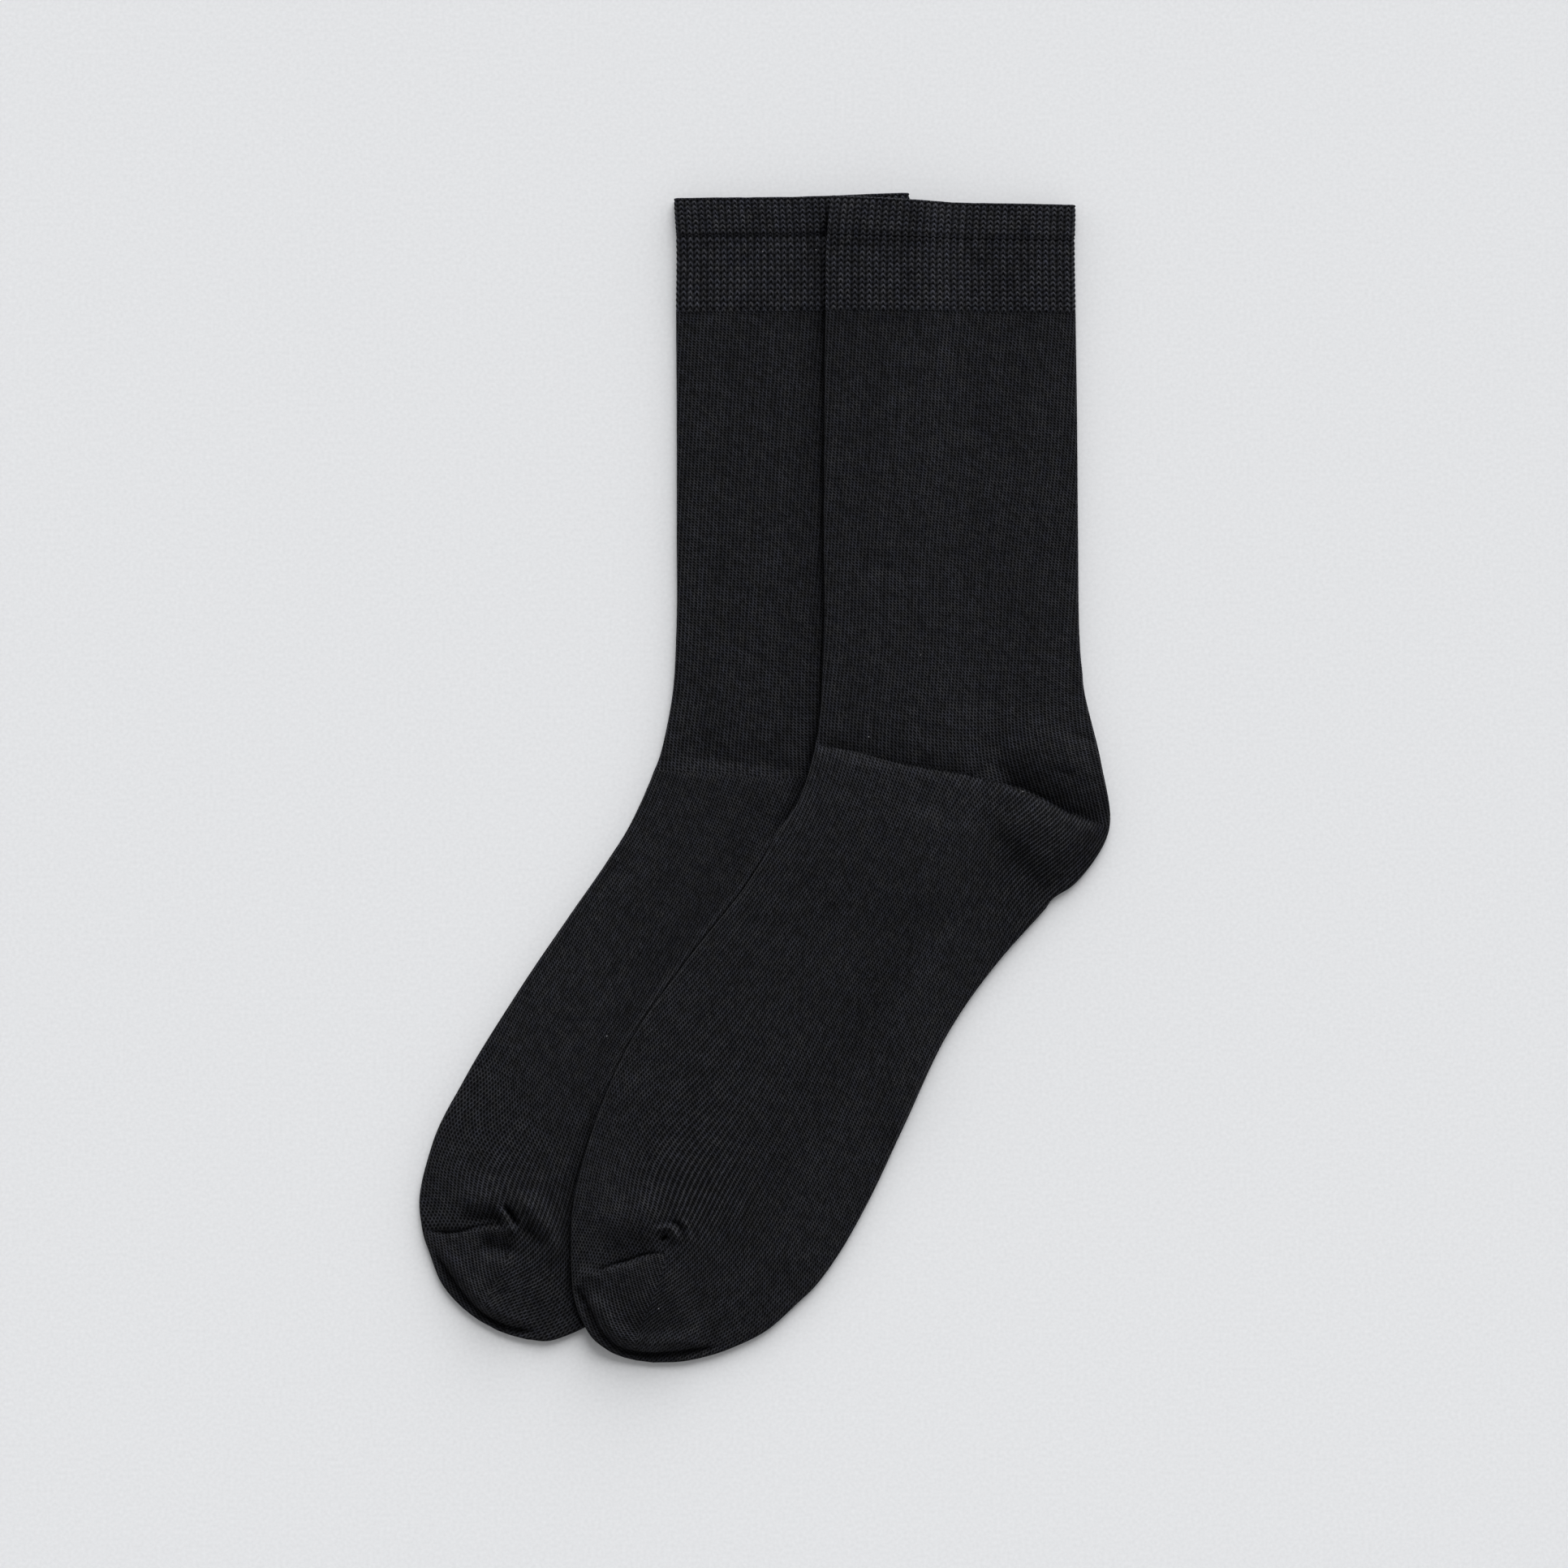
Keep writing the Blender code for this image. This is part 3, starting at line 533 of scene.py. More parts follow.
def hermite(knots, values, tangents, at):
    """A smooth curve through values at knots, read at other places."""
    index = np.clip(np.searchsorted(knots, at, side="right") - 1, 0, len(knots) - 2)
    shape = (-1, *[1] * (values.ndim - 1))
    length = (knots[index + 1] - knots[index]).reshape(shape)
    t = (at - knots[index]).reshape(shape) / length
    return (
        (2 * t**3 - 3 * t**2 + 1) * values[index]
        + (t**3 - 2 * t**2 + t) * tangents[index] * length
        + (3 * t**2 - 2 * t**3) * values[index + 1]
        + (t**3 - t**2) * tangents[index + 1] * length
    )


def nearest(curve, points):
    """For each point: distance to an open polyline, its side and the share of the way along."""
    start, step = curve[:-1], np.diff(curve, axis=0)
    length = np.linalg.norm(step, axis=1)
    way = step / length[:, None]
    offset = points[:, None] - start[None]
    along = np.clip(np.sum(offset * way, axis=2), 0.0, length)
    away = offset - along[:, :, None] * way
    distance = np.linalg.norm(away, axis=2)
    pick = np.argmin(distance, axis=1)
    every = np.arange(len(points))
    left = np.column_stack([-way[pick, 1], way[pick, 0]])
    side = np.sum(offset[every, pick] * left, axis=1)
    before = distances(curve)
    return distance[every, pick], side, (before[pick] + along[every, pick]) / before[-1]


under = Sock(UNDER_SECTIONS, UNDER_FOLDS)
over = Sock(OVER_SECTIONS, OVER_FOLDS)


def rest_height(sock, points):
    """Underside of a sock: the table, or for the over sock the under sock's upper side."""
    if sock is under:
        return np.zeros(len(points))
    lift = thickness(JERSEY_WALL) + REST_GAP
    for name, step_up in (("rib_end", RIB_WALL - JERSEY_WALL), ("welt_end", WELT_WALL - RIB_WALL)):
        start = under.knots[under.names.index(name), 1, 1] - STEP_UP_START
        lift = lift + 2.0 * step_up * smoothstep((points[:, 1] - start) / STEP_UP_REACH)
    outside = np.maximum(-under.closed_edge.measure(points)[0], 0.0)
    return lift * (1.0 - smoothstep((outside - DRAPE_START) / DRAPE_REACH))


def loft(sock, points, distance):
    """How far the upper layer stands above its flattest."""
    fade = smoothstep(distance / EDGE_FADE)
    lift = PUFF * smoothstep(distance / PUFF_REACH) + sock.relief(points) * fade
    if sock is under:
        inside = over.closed_edge.measure(points)[0]
        y, *columns = np.array(CONTACTS).T
        height, width, out, reach = (np.interp(points[:, 1], y, column) for column in columns)
        lift = lift * smoothstep(-inside / reach)
        lift += height * np.exp(-(((inside + out) / width) ** 2)) * fade
    return np.maximum(lift, DEEPEST)


def across(lines, share):
    """Points at shares of the way across, 0 at the front, 1 at the side line and 2 at the back."""
    front, side, back = (lines[:, k][:, None] for k in (0, 1, 2))
    t = share[:, :, None]
    return np.where(t < 1.0, front + (side - front) * t, side + (back - side) * (t - 1.0))


def contact_share(lines):
    """Where the over sock's edge crosses each row of the under sock, as a share of the way across."""
    share = np.linspace(0.0, 2.0, CONTACT_STEPS + 1)
    plan = across(lines, np.broadcast_to(share, (len(lines), len(share))))
    inside = over.closed_edge.measure(plan.reshape(-1, 2))[0].reshape(len(lines), -1)
    entering = (inside[:, :-1] < 0.0) & (inside[:, 1:] >= 0.0)
    crossed = entering.any(axis=1)
    column = np.argmax(entering, axis=1)
    row = np.arange(len(lines))
    before, after = inside[row, column], inside[row, column + 1]
    found = share[column] + (share[1] - share[0]) * before / np.minimum(before - after, -TINY)
    return np.interp(row, row[crossed], found[crossed])


def column_shares(lines, half_columns, arc_steps, radius):
    """Each row's columns, as shares of the way across. The side folds get steps of their own, or, with no
    arc steps, the columns are even all the way round them."""
    shares = []
    for fold in (0, 2):
        length = np.maximum(np.linalg.norm(lines[:, fold] - lines[:, 1], axis=1), 2.0 * radius)[:, None]
        if arc_steps:
            turn = np.linspace(0.0, np.pi / 2.0, arc_steps + 1)[None]
            near = radius * (1.0 - np.cos(turn)) / length
            inner = np.linspace(0.0, 1.0, half_columns + 1)[None, 1:]
            shares.append(np.concatenate([near, radius / length * (1.0 - inner) + inner], axis=1))
        else:
            quarter = radius * np.pi / 2.0
            even = np.linspace(0.0, 1.0, half_columns + 1)[None] * (length - radius + quarter)
            turned = radius * (1.0 - np.cos(np.minimum(even, quarter) / radius))
            shares.append((turned + np.maximum(even - quarter, 0.0)) / length)
    return np.concatenate([shares[0], 2.0 - shares[1][:, -2::-1]], axis=1)


class Grid:
    """A sock's outer skin: rows at stations along it, and a ring of columns over the upper layer from the
    front fold to the back fold and back under it. "cloth" is the same grid with the side folds unrolled,
    for its stitches."""

    def __init__(self, sock, stations, half_columns, arc_steps, wall):
        self.rows = len(stations)
        self.half = 2 * (arc_steps + half_columns)
        self.ring = 2 * self.half
        radius = thickness(wall) / 2.0
        lines = sock.lines(stations)
        share = column_shares(lines, half_columns, arc_steps, radius)
        if sock is under and arc_steps:
            off = share - contact_share(lines)[:, None]
            share = share - CLUSTER * off * np.exp(-((off / CLUSTER_REACH) ** 2))
        plan = across(lines, share)
        flat = plan.reshape(-1, 2)
        distance, inwards = sock.open_edge.measure(flat)
        distance = np.maximum(distance, 0.0)
        to_crown = 1.0 - np.clip(distance / radius, 0.0, 1.0)  # share of the rounded side still ahead
        bow = radius * np.sqrt(1.0 - to_crown**2)
        middle = rest_height(sock, flat) + radius
        rise = loft(sock, flat, distance)
        upper, lower = middle + bow + rise, middle - bow
        unrolled = radius * (np.pi / 2.0 - np.arccos(to_crown)) - np.maximum(radius - distance, 0.0)
        cloth = (flat - inwards * unrolled[:, None]).reshape(self.rows, -1, 2)
        layers = (np.dstack([plan, height.reshape(self.rows, -1)]) for height in (upper, lower))
        self.points = self.close(*layers)
        self.cloth = self.close(cloth, cloth)

    def close(self, upper, lower):
        """The upper layer's columns and then the lower layer's, back to the start."""
        return np.concatenate([upper, lower[:, -2:0:-1]], axis=1)

    def normals(self):
        down = np.gradient(self.points, axis=0)
        around = np.roll(self.points, -1, axis=1) - np.roll(self.points, 1, axis=1)
        normal = np.cross(down, around)
        length = np.linalg.norm(normal, axis=2, keepdims=True)
        return normal / np.maximum(length, TINY)

    def around(self):
        """Each column's share of the way round, by length, with the first column again at the end."""
        middle = self.points[self.rows // 2]
        along = distances(np.vstack([middle, middle[:1]]))
        return along / along[-1]


def stations_between(sock, first, last):
    """Stations from one section to another at each section's own step, and the row of every section."""
    stations, rows = [], {}
    names = sock.names[sock.names.index(first): sock.names.index(last) + 1]
    for name, following in zip(names, names[1:]):
        start, end = sock.at[name], sock.at[following]
        rows[name] = len(stations)
        widest = np.linalg.norm(np.diff(sock.lines([start, end]), axis=0), axis=2).max()
        count = max(2, round(widest / sock.steps[sock.names.index(name)]))
        stations += list(np.linspace(start, end, count, endpoint=False))
    if last == "toe_end":
        radius = thickness(JERSEY_WALL) / 2.0
        pace = (end - start) / np.linalg.norm(sock.knots[-1, 1] - sock.knots[-2, 1])
        turn = np.linspace(np.pi / 2.0, 0.0, FOLD_ARC + 1)[:-1]
        closing = end - pace * radius * (1.0 - np.cos(turn))
        stations = [station for station in stations if station < closing[0] - pace * CLOSING_GAP]
        stations += list(closing)
    rows[last] = len(stations)
    return stations + [sock.at[last]], rows


class Wales:
    """Stitch coordinates over the plan: whole numbers of wales across and of courses down."""

    SCALE = 100.0  # mm to a unit of the fit
    PITCH_WEIGHT = 0.5
    STIFFNESS = 3e-5  # the higher, the smoother and the less exact

    def __init__(self, knitting):
        self.centres = np.array([(lean.x, lean.y) for lean in knitting.leans]) / self.SCALE
        angle = np.radians([lean.angle for lean in knitting.leans])
        sideways = np.column_stack([np.cos(angle), -np.sin(angle)])
        down = np.column_stack([-np.sin(angle), -np.cos(angle)])
        self.weights = np.column_stack([
            self.fit(sideways, down, 1.0 / knitting.wale),
            self.fit(down, sideways, 1.0 / knitting.course),
        ])

    def fit(self, climbing, level, slope):
        """The smoothest field that climbs one way and is level the other way at the centres. How fast it
        climbs counts less than where it is level."""
        offset = self.centres[:, None] - self.centres[None]
        pull = 3.0 * np.linalg.norm(offset, axis=2)[:, :, None] * offset
        count = len(self.centres)
        rows = []
        for way, weight in ((climbing, self.PITCH_WEIGHT), (level, 1.0)):
            rows.append(weight * np.concatenate([np.einsum("ijk,ik->ij", pull, way), way], axis=1))
        matrix = np.concatenate(rows)
        wanted = np.repeat([self.PITCH_WEIGHT * slope * self.SCALE, 0.0], count)
        soft = np.diag([self.STIFFNESS * count] * count + [0.0, 0.0])
        return np.linalg.solve(matrix.T @ matrix + soft, matrix.T @ wanted)

    def __call__(self, points):
        points = points / self.SCALE
        radius = np.linalg.norm(points[:, None] - self.centres[None], axis=2)
        return np.concatenate([radius**3, points], axis=1) @ self.weights


def make_piece(node, points, quads, knit, bake, normals, taut, material):
    """A mesh piece from points in mm, quads of point numbers and two sets of coordinates for each corner."""
    name = f"{node}_knit"
    used, quads_used = np.unique(quads, return_inverse=True)
    quads = quads_used.reshape(-1, 4)
    mesh = bpy.data.meshes.new(name)
    mesh.from_pydata((points[used] * MM).tolist(), [], quads.tolist())
    for map_name, values in (("OFBake", bake), ("Knit", knit)):
        layer = mesh.uv_layers.new(name=map_name)
        layer.data.foreach_set("uv", values.astype(np.float32).reshape(-1))
    mesh.polygons.foreach_set("use_smooth", [True] * len(mesh.polygons))
    mesh.materials.append(material)
    if normals is not None:
        mesh.normals_split_custom_set_from_vertices(normals[used].tolist())
        # the taut share, which also carries painted light on the lit heel pocket and swells
        mesh.attributes.new("taut", "FLOAT", "POINT").data.foreach_set("value", taut[used])
    made = bpy.data.objects.new(name, mesh)
    bpy.context.scene.collection.objects.link(made)
    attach(made, "root")
    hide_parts(node)
    return made


def cells(rows, columns):
    """Row and column of the four corners of every cell, down first: two (n, 4) arrays."""
    i, j = (grid.reshape(-1, 1) for grid in np.meshgrid(rows, columns, indexing="ij"))
    return i + np.array([0, 1, 1, 0]), j + np.array([0, 0, 1, 1])


def build_jersey(side, sock, material, knittings):
    """Leg, heel, foot and toe of one sock, cut from one grid."""
    stations, row_of = stations_between(sock, "rib_end", "toe_end")
    stations[0] -= RIB_TUCK
    grid = Grid(sock, stations, SIDE_COLUMNS, FOLD_ARC, JERSEY_WALL)
    last = grid.rows - 1
    points = grid.points.reshape(-1, 3)
    normals = grid.normals().reshape(-1, 3)
    # how taut the cloth is, which also marks where painted light lightens the lit heel pocket and swells
    taut = taut_and_lit_amount(points, UNDER_TAUT_AND_LIT if sock is under else OVER_TAUT_AND_LIT)
    leg, foot, toe = (Wales(knitting)(grid.cloth.reshape(-1, 2)) for knitting in knittings)
    around = grid.around()
    side_column = grid.half // 2
    down = distances(grid.points[:, side_column])
    heel_columns = range(side_column, grid.ring - side_column)
    front_columns = [j for j in range(grid.ring) if j not in heel_columns]
    gore, seam = row_of["gore"], row_of["toe_seam"]
    top, notch = row_of["heel_top"], row_of["heel_notch"]
    patches = {
        "leg": [(leg, range(top), range(grid.ring)), (leg, range(top, gore), front_columns)],
        "heel": [(leg, range(top, gore), heel_columns), (foot, range(gore, notch), heel_columns)],
        "foot": [(foot, range(gore, notch), front_columns), (foot, range(notch, seam), range(grid.ring))],
        "toe": [(toe, range(seam, last), front_columns), (foot, range(seam, last), heel_columns)],
    }
    for piece, parts in patches.items():
        quads, knit, bake = [], [], []
        low = min(rows.start for _, rows, _ in parts)
        high = max(rows.stop for _, rows, _ in parts)
        for field, rows, columns in parts:
            i, j = cells(rows, columns)
            wrapped = np.where((i == last) & (j > grid.half), grid.ring - j, j % grid.ring)
            quad = i * grid.ring + wrapped
            quads.append(quad)
            knit.append(field[quad])
            bake.append(np.stack([around[j], 1.0 - (down[i] - down[low]) / (down[high] - down[low])], axis=2))
        quads, knit, bake = np.concatenate(quads), np.concatenate(knit), np.concatenate(bake)
        if piece == "heel":
            start, end = around[side_column], around[grid.ring - side_column]
            bake[:, :, 0] = (bake[:, :, 0] - start) / (end - start)
        name = f"{side}_{piece}"
        made = make_piece(name, points, quads, knit, bake, normals, taut, material)


def stitch_relief(wale, course):
    """Height, from 0 to 1, of rib stitches: a column of arches for each wale with a hole under each arch,
    and between two columns a row of low bumps."""
    signed = (wale - np.floor(wale) - 0.5) * 2.0
    off = np.abs(signed)
    yarn = 0.5 + 0.5 * np.cos(TURN * (course - ARCH_DROP * off - ARCH_SKEW * signed))
    column = np.clip(1.0 - (off / ARCH_WIDTH) ** ARCH_SQUARENESS, 0.0, 1.0)
    arches = column * (ARCH_LOW + (1.0 - ARCH_LOW) * yarn)
    hole = HOLE_DEPTH * np.exp(-((off / HOLE_WIDTH) ** 2)) * (1.0 - yarn)
    bump = PURL_HEIGHT * np.exp(-(((1.0 - off) / PURL_WIDTH) ** 2)) * (0.5 - 0.5 * np.cos(TURN * course))
    return np.clip(arches - hole + bump, 0.0, 1.0)


def rib_coordinates(columns, lengths, course):
    """Stitch coordinates of a grid: rib columns round the tube, courses down it."""
    wale = np.arange(columns + 1) / STEPS_PER_RIB
    return np.broadcast_arrays(wale[None], (lengths / course)[:, None])


def ribbed_relief(grid, wale, row):
    """The stitches' height above or below the cloth, less where it lies pressed underneath."""
    kept = np.where(np.arange(grid.ring) > grid.half, UNDERSIDE_RELIEF, 1.0)
    return RIB_RELIEF * kept * (stitch_relief(wale, row)[:, :-1] - 0.5)


def build_rib(side, sock, material, course):
    """The ribbed band between the welt and the leg."""
    first, last = sock.at["welt_end"] - RIB_TUCK, sock.at["rib_end"]
    stations = np.linspace(first, last, round((last - first) / RIB_STEP) + 1)
    grid = Grid(sock, stations, RIB_COLUMNS * STEPS_PER_RIB // 2, 0, RIB_WALL)
    wale, row = rib_coordinates(grid.ring, stations, course)
    tuck = RIB_DROP * smoothstep((stations - last + RIB_FADE) / RIB_FADE)
    groove = WELT_GROOVE * np.exp(-(((stations - sock.at["welt_end"]) / GROOVE_WIDTH) ** 2))
    lift = ribbed_relief(grid, wale, row) - (tuck + groove)[:, None]
    points = grid.points + grid.normals() * lift[:, :, None]
    build_ribbed_piece(f"{side}_rib_cuff", grid, points, stations - first, wale, row, material)


def build_welt(side, sock, material, course):
    """The turned top edge: down the outside, and round the edge down the inside."""
    deepest = max(WELT_TURN, sock.at["welt_end"]) + INNER_STEP
    base_stations = np.arange(0.0, deepest, RIB_STEP)
    grid = Grid(sock, base_stations, RIB_COLUMNS * STEPS_PER_RIB // 2, 0, WELT_WALL)
    radius = WELT_WALL / 2.0
    turn = np.linspace(np.pi, 0.0, WELT_EDGE_STEPS + 1)
    inner = np.arange(WELT_TURN, radius, -INNER_STEP)
    outer = np.arange(radius + RIB_STEP, sock.at["welt_end"] + RIB_STEP / 2.0, RIB_STEP)
    stations = np.concatenate([inner, radius * (1.0 - np.sin(turn)), outer])
    inset = np.concatenate([np.full(len(inner), 2.0 * radius), radius * (1.0 - np.cos(turn)), 0.0 * outer])
    curl = WELT_CURL * smoothstep((stations - outer[-1] + WELT_CURL_REACH) / WELT_CURL_REACH)
    curl += WELT_BOW * np.clip(1.0 - stations / WELT_BOW_REACH, 0.0, 1.0) ** 2
    curl *= inset == 0.0
    place = stations / RIB_STEP
    row = np.clip(place.astype(int), 0, grid.rows - 2)
    part = (place - row)[:, None, None]
    base, normal = (rows[row] * (1.0 - part) + rows[row + 1] * part for rows in (grid.points, grid.normals()))
    path = distances(np.column_stack([stations, inset]))
    edge = path[len(inner) + WELT_EDGE_STEPS // 2]
    wale, course_row = rib_coordinates(grid.ring, path - edge, course)
    shown = np.clip(1.0 - inset / radius / 2.0, INNER_RELIEF, 1.0)[:, None]
    lift = shown * ribbed_relief(grid, wale, course_row) - (inset + curl)[:, None]
    points = base + normal * lift[:, :, None]
    build_ribbed_piece(f"{side}_welt", grid, points, path, wale, course_row, material)


def build_ribbed_piece(name, grid, points, lengths, wale, row, material):
    """A piece from displaced grid points, none of them below the table."""
    points[:, :, 2] = np.maximum(points[:, :, 2], 0.0)
    i, j = cells(range(len(lengths) - 1), range(grid.ring))
    quads = i * grid.ring + j % grid.ring
    knit = np.stack([wale[i, j], row[i, j]], axis=2)
    bake = np.stack([grid.around()[j], 1.0 - (lengths / lengths[-1])[i]], axis=2)
    made = make_piece(name, points.reshape(-1, 3), quads, knit, bake, None, None, material)


class Graph:
    """Short ways to make and join a material's nodes."""

    def __init__(self, tree):
        self.tree = tree

    def fill(self, node, inputs):
        """Join each input to a socket, or give it a value."""
        for key, value in dict(inputs).items():
            if isinstance(value, bpy.types.NodeSocket):
                self.tree.links.new(value, node.inputs[key])
            else:
                node.inputs[key].default_value = value

    def node(self, kind, inputs=(), **settings):
        made = self.tree.nodes.new(kind)
        for key, value in settings.items():
            setattr(made, key, value)
        self.fill(made, inputs)
        return made

    def math(self, operation, *values):
        return self.node("ShaderNodeMath", enumerate(values), operation=operation).outputs[0]

    def times(self, value, factor):
        return self.math("MULTIPLY", value, factor)

    def spread(self, value, low, high):
        """A value from 0 to 1 spread from low to high."""
        return self.math("MULTIPLY_ADD", value, high - low, low)

    def mix(self, factor, first, second, **settings):
        """A colour between two, the first where the factor is 0."""
        inputs = {"Factor": factor, "A": first, "B": second}
        return self.node("ShaderNodeMix", inputs, data_type="RGBA", **settings).outputs["Result"]

    def wave(self, turns, halfway, whole):
        """A wave between two values, the second at whole turns."""
        cosine = self.math("COSINE", self.times(turns, TURN))
        return self.math("MULTIPLY_ADD", cosine, (whole - halfway) / 2.0, (whole + halfway) / 2.0)

    def noise(self, coordinates, scale, detail=NOISE_DETAIL):
        made = self.node("ShaderNodeTexNoise", {"Vector": coordinates, "Scale": scale, "Detail": detail})
        return made.outputs["Fac"]


def new_material(name):
    material = bpy.data.materials.new(name)
    material.use_nodes = True
    return material, Graph(material.node_tree), material.node_tree.nodes["Principled BSDF"]


def taut_and_lit_share(g):
    """From 0 to 1, how far the cloth is drawn taut. The same share also carries the painted light on lit
    swells.
    """
    return g.node("ShaderNodeAttribute", attribute_name="taut").outputs["Fac"]


def jersey_height(g, knit, off, signed, course):
    """Jersey: a slanting gap in each stitch, between light lines where the wales meet."""
    gap = g.wave(g.math("SUBTRACT", course, g.times(signed, knit.slant)), 1.0, 0.0)
    merge = g.spread(taut_and_lit_share(g), knit.merge, TAUT_MERGE)
    gap = g.math("MULTIPLY_ADD", gap, g.math("SUBTRACT", 1.0, merge), merge)
    inside = g.math("SUBTRACT", 1.0, g.math("POWER", off, knit.square))
    return g.math("SUBTRACT", 1.0, g.times(gap, inside))


def rib_height(g, knit, off, signed, course):
    """Rib: a column of arches for each wale, a hole under each arch, and low bumps between the columns."""
    drop = g.math("MULTIPLY_ADD", signed, 2.0 * ARCH_SKEW, g.times(off, knit.slant))
    yarn = g.wave(g.math("SUBTRACT", course, drop), 0.0, 1.0)
    past = g.math("POWER", g.times(off, 1.0 / ARCH_WIDTH), knit.square)
    column = g.math("MAXIMUM", g.math("SUBTRACT", 1.0, past), 0.0)
    centre = g.math("POWER", g.math("SUBTRACT", 1.0, off), HOLE_SHARPNESS)
    hole = g.times(g.times(g.math("SUBTRACT", 1.0, yarn), centre), HOLE_DARKNESS)
    arches = g.math("SUBTRACT", g.times(g.spread(yarn, knit.merge, 1.0), column), hole)
    bump = g.wave(course, PURL_LIGHT, 0.0)
    return g.math("MULTIPLY_ADD", bump, g.math("POWER", off, PURL_SHARPNESS), arches)


def lint(g, places):
    """Rare specks of pale lint: 1 on a speck and 0 elsewhere."""
    spots = g.node("ShaderNodeTexVoronoi", {"Vector": places, "Scale": LINT_SCALE}, voronoi_dimensions="2D")
    near = g.math("LESS_THAN", spots.outputs["Distance"], LINT_RADIUS * LINT_SCALE)
    chosen = g.node("ShaderNodeSeparateXYZ", {0: spots.outputs["Color"]}).outputs[0]
    return g.times(near, g.math("GREATER_THAN", chosen, LINT_RARITY))


def wander(g, places, scale, reach):
    """How far a stitch lies off its even place."""
    return g.spread(g.noise(places, scale, FINE_DETAIL), -reach, reach)


def tone(g, knit, places, wale, row):
    """How light the yarn is: by stitch, by wale, where it is taut (partly painted light on lit swells), in
    soft mottles and in its fibres.
    """
    cell = g.node("ShaderNodeCombineXYZ", {0: g.math("FLOOR", wale), 1: g.math("FLOOR", row)})
    each = g.node("ShaderNodeTexWhiteNoise", {"Vector": cell.outputs[0]}, noise_dimensions="2D").outputs[0]
    strand = g.node("ShaderNodeTexWhiteNoise", {"W": g.math("FLOOR", wale)}, noise_dimensions="1D").outputs[0]
    parts = [(each, 1.0 - knit.vary), (strand, 1.0 - STRAND_VARY)]
    parts += [(g.noise(places, scale), knit.mottle) for scale in MOTTLE_SCALES]
    parts.append((g.noise(places, FIBRE_SCALE, FINE_DETAIL), FIBRE_LOW))
    # lighter where taut: partly the stretched knit, partly painted light on lit swells
    total = 1.0 if knit.ribbed else g.spread(taut_and_lit_share(g), 1.0, TAUT_AND_LIT_LIGHTENING)
    for value, low in parts:
        total = g.times(total, g.spread(value, low, 2.0 - low))
    return total


def knit_material(name, knit):
    """Knitted cloth, from the Knit map's whole numbers of wales and courses."""
    material, g, shader = new_material(name)
    places = g.node("ShaderNodeTexCoord").outputs["Object"]
    stitches = g.node("ShaderNodeUVMap", uv_map="Knit").outputs["UV"]
    split = g.node("ShaderNodeSeparateXYZ", {0: stitches})
    wale = g.math("ADD", split.outputs[0], wander(g, places, WALE_WANDER_SCALE, knit.wander))
    course = g.math("ADD", split.outputs[1], wander(g, places, COURSE_WANDER_SCALE, knit.wander))
    signed = g.math("SUBTRACT", g.math("FRACT", wale), 0.5)
    off = g.times(g.math("ABSOLUTE", signed), 2.0)
    shape, slanting = (rib_height, off) if knit.ribbed else (jersey_height, signed)
    height = g.node("ShaderNodeClamp", {0: shape(g, knit, off, signed, course)}).outputs[0]
    row = g.math("SUBTRACT", course, g.times(slanting, knit.slant))

    shade = g.times(g.math("POWER", height, knit.sharp), tone(g, knit, places, wale, row))
    cool, warm = ((*[c * part for c, part in zip(knit.light, tint)], 1.0) for tint in (COOL, WARM))
    light = g.mix(g.noise(places, HUE_SCALE), cool, warm)
    cloth = g.mix(shade, (*knit.dark, 1.0), light, clamp_factor=False)
    bump = g.node("ShaderNodeBump", {"Height": height, "Strength": knit.bump, "Distance": STITCH_DEPTH})
    g.fill(shader, {
        "Base Color": g.mix(lint(g, places), cloth, LINT), "Normal": bump.outputs[0],
        "Roughness": g.spread(height, GAP_ROUGHNESS, YARN_ROUGHNESS),
        "Specular IOR Level": CLOTH_SPECULAR, "Sheen Weight": SHEEN, "Sheen Roughness": SHEEN_ROUGHNESS,
    })
    return material


def build_socks():
    jersey = knit_material("jersey", JERSEY)
    rib = knit_material("rib", RIB)
    build_jersey("under", under, jersey, (UNDER_LEG, UNDER_FOOT, UNDER_TOE))
    build_jersey("over", over, jersey, (OVER_LEG, OVER_FOOT, OVER_TOE))
    for side, sock in (("under", under), ("over", over)):
        build_rib(side, sock, rib, RIB_COURSES[side])
        build_welt(side, sock, rib, WELT_COURSE)


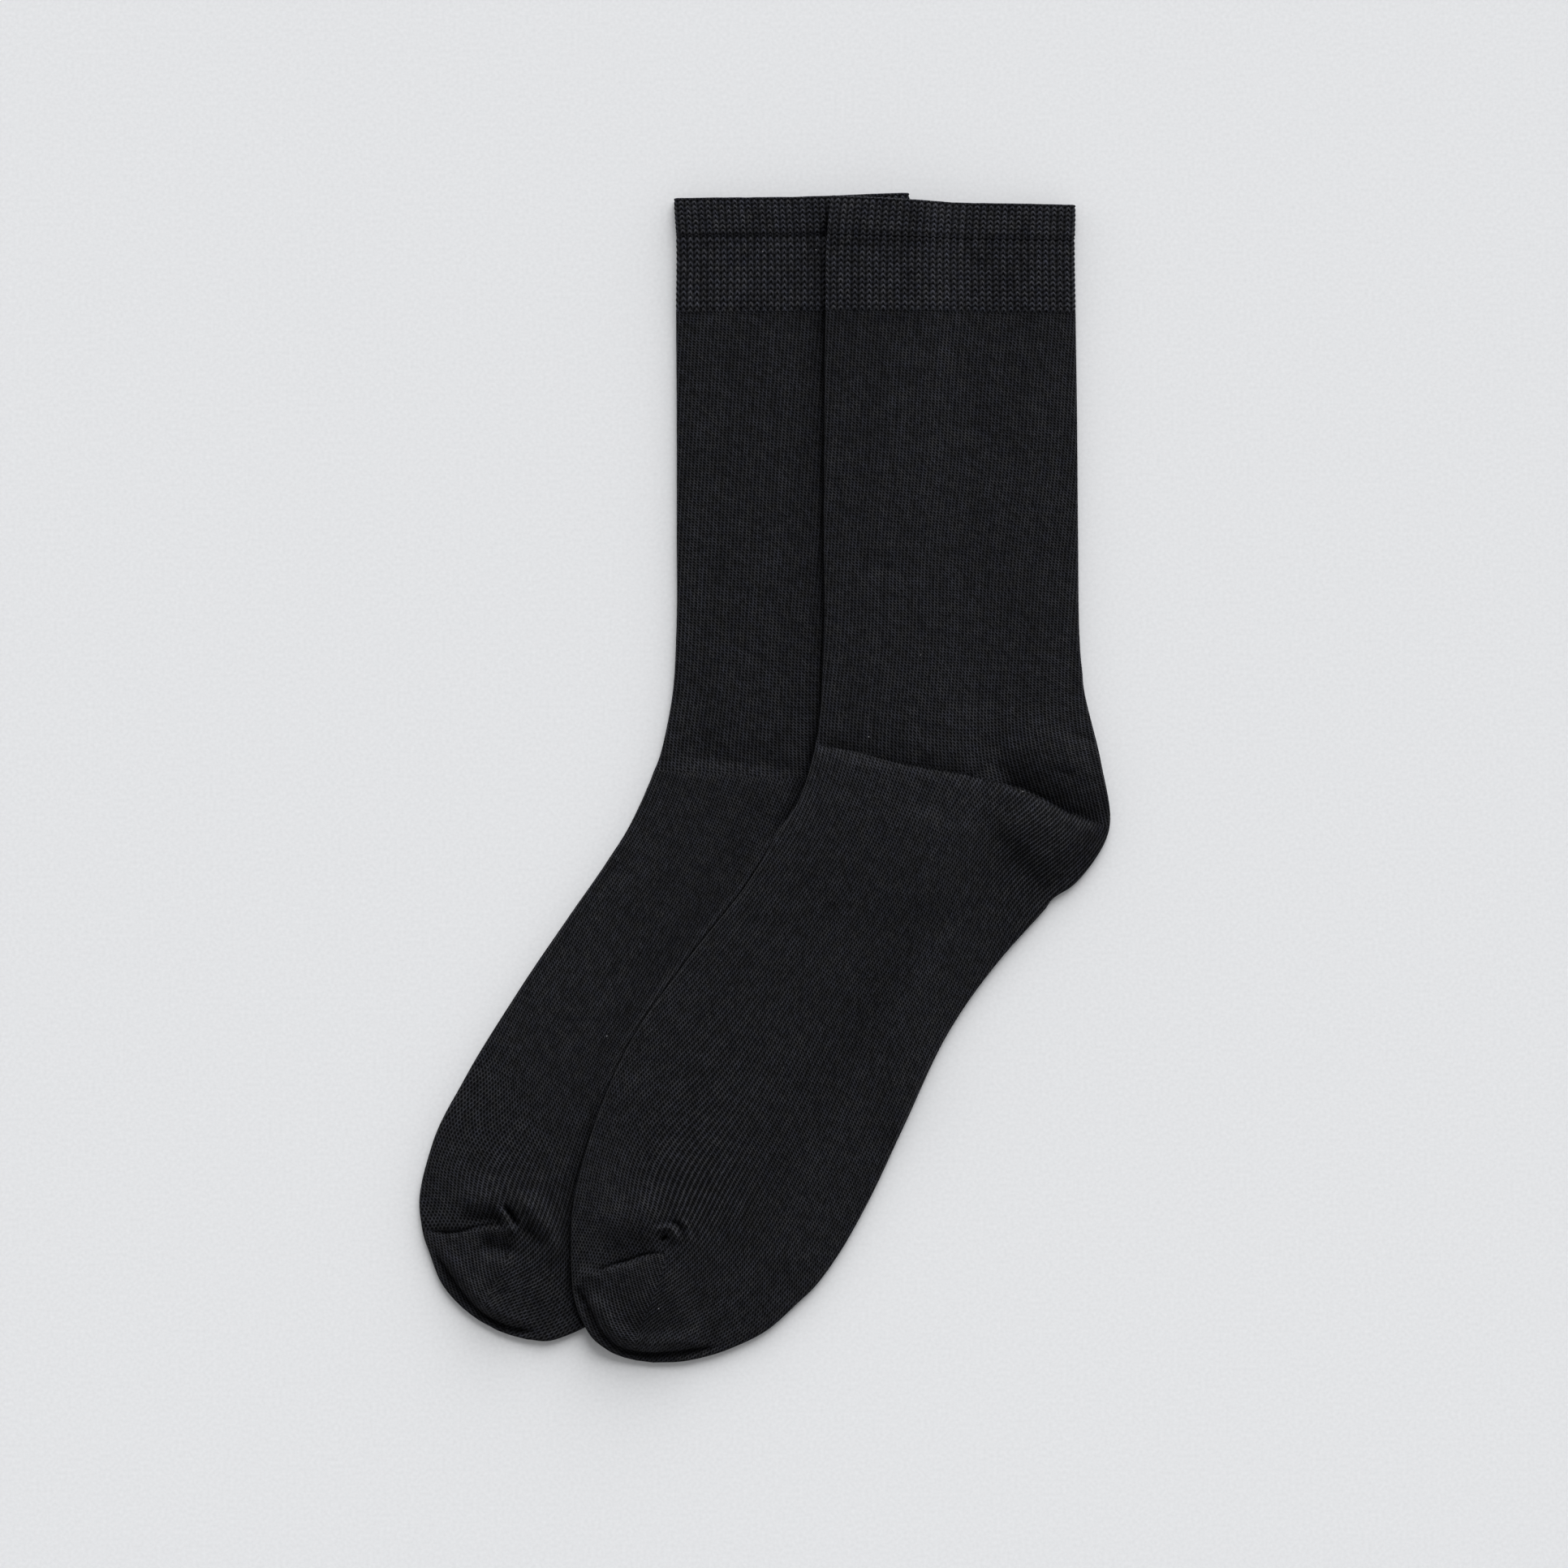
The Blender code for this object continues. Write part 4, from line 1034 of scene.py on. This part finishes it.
def build_floor():
    bpy.ops.mesh.primitive_plane_add(size=FLOOR_SIZE, location=(0.0, 0.0, -FLOOR_SINK))
    floor = bpy.context.object
    floor.name = "floor"
    material, g, shader = new_material("paper")
    places = g.node("ShaderNodeTexCoord").outputs["Object"]
    grain = g.times(g.noise(places, GRAIN_SCALE, FINE_DETAIL), GRAIN_SHARE)
    drift = g.times(g.noise(places, DRIFT_SCALE), 1.0 - GRAIN_SHARE)
    colour = g.mix(g.math("ADD", grain, drift), FLOOR_DARK, FLOOR_LIGHT)
    g.fill(shader, {"Base Color": colour, "Roughness": FLOOR_ROUGHNESS, "Specular IOR Level": 0.0})
    floor.data.materials.append(material)


def build_light(scene):
    """A sky that is brighter low down, beyond the cuffs and beyond the heels, and the sun."""
    world = bpy.data.worlds.new("studio")
    world.use_nodes = True
    sky = Graph(world.node_tree)
    way = sky.node("ShaderNodeSeparateXYZ", {0: sky.node("ShaderNodeTexCoord").outputs["Generated"]})
    height = sky.math("MAXIMUM", way.outputs[2], 0.0)
    band = sky.math("POWER", sky.math("SUBTRACT", 1.0, height), HORIZON_BAND)
    level = sky.math("MULTIPLY_ADD", way.outputs[1], HORIZON_CUFFS, HORIZON_LEVEL)
    band = sky.times(band, sky.math("MULTIPLY_ADD", way.outputs[0], HORIZON_HEELS, level))
    strength = sky.math("MULTIPLY_ADD", band, HORIZON_STRENGTH, SKY_STRENGTH)
    sky.fill(world.node_tree.nodes["Background"], {"Color": (1.0, 1.0, 1.0, 1.0), "Strength": strength})
    scene.world = world
    scene.view_settings.view_transform = "Standard"

    sun = bpy.data.lights.new("sun", "SUN")
    sun.energy = SUN_STRENGTH
    sun.angle = np.radians(SUN_SPREAD)
    lamp = bpy.data.objects.new("sun", sun)
    lamp.rotation_euler = (-np.radians(90.0 - SUN_HEIGHT), 0.0, -np.radians(SUN_TURN))
    scene.collection.objects.link(lamp)


def build_camera(scene):
    """The camera looks straight down and takes in the picture's width."""
    camera = bpy.data.objects.new("camera", bpy.data.cameras.new("camera"))
    camera.data.sensor_width = SENSOR_WIDTH
    camera.data.lens = SENSOR_WIDTH * CAMERA_HEIGHT / PICTURE_WIDTH
    camera.location = (*PICTURE_CENTRE, CAMERA_HEIGHT)
    scene.collection.objects.link(camera)
    scene.camera = camera


build_socks()
build_floor()
build_light(bpy.context.scene)
build_camera(bpy.context.scene)
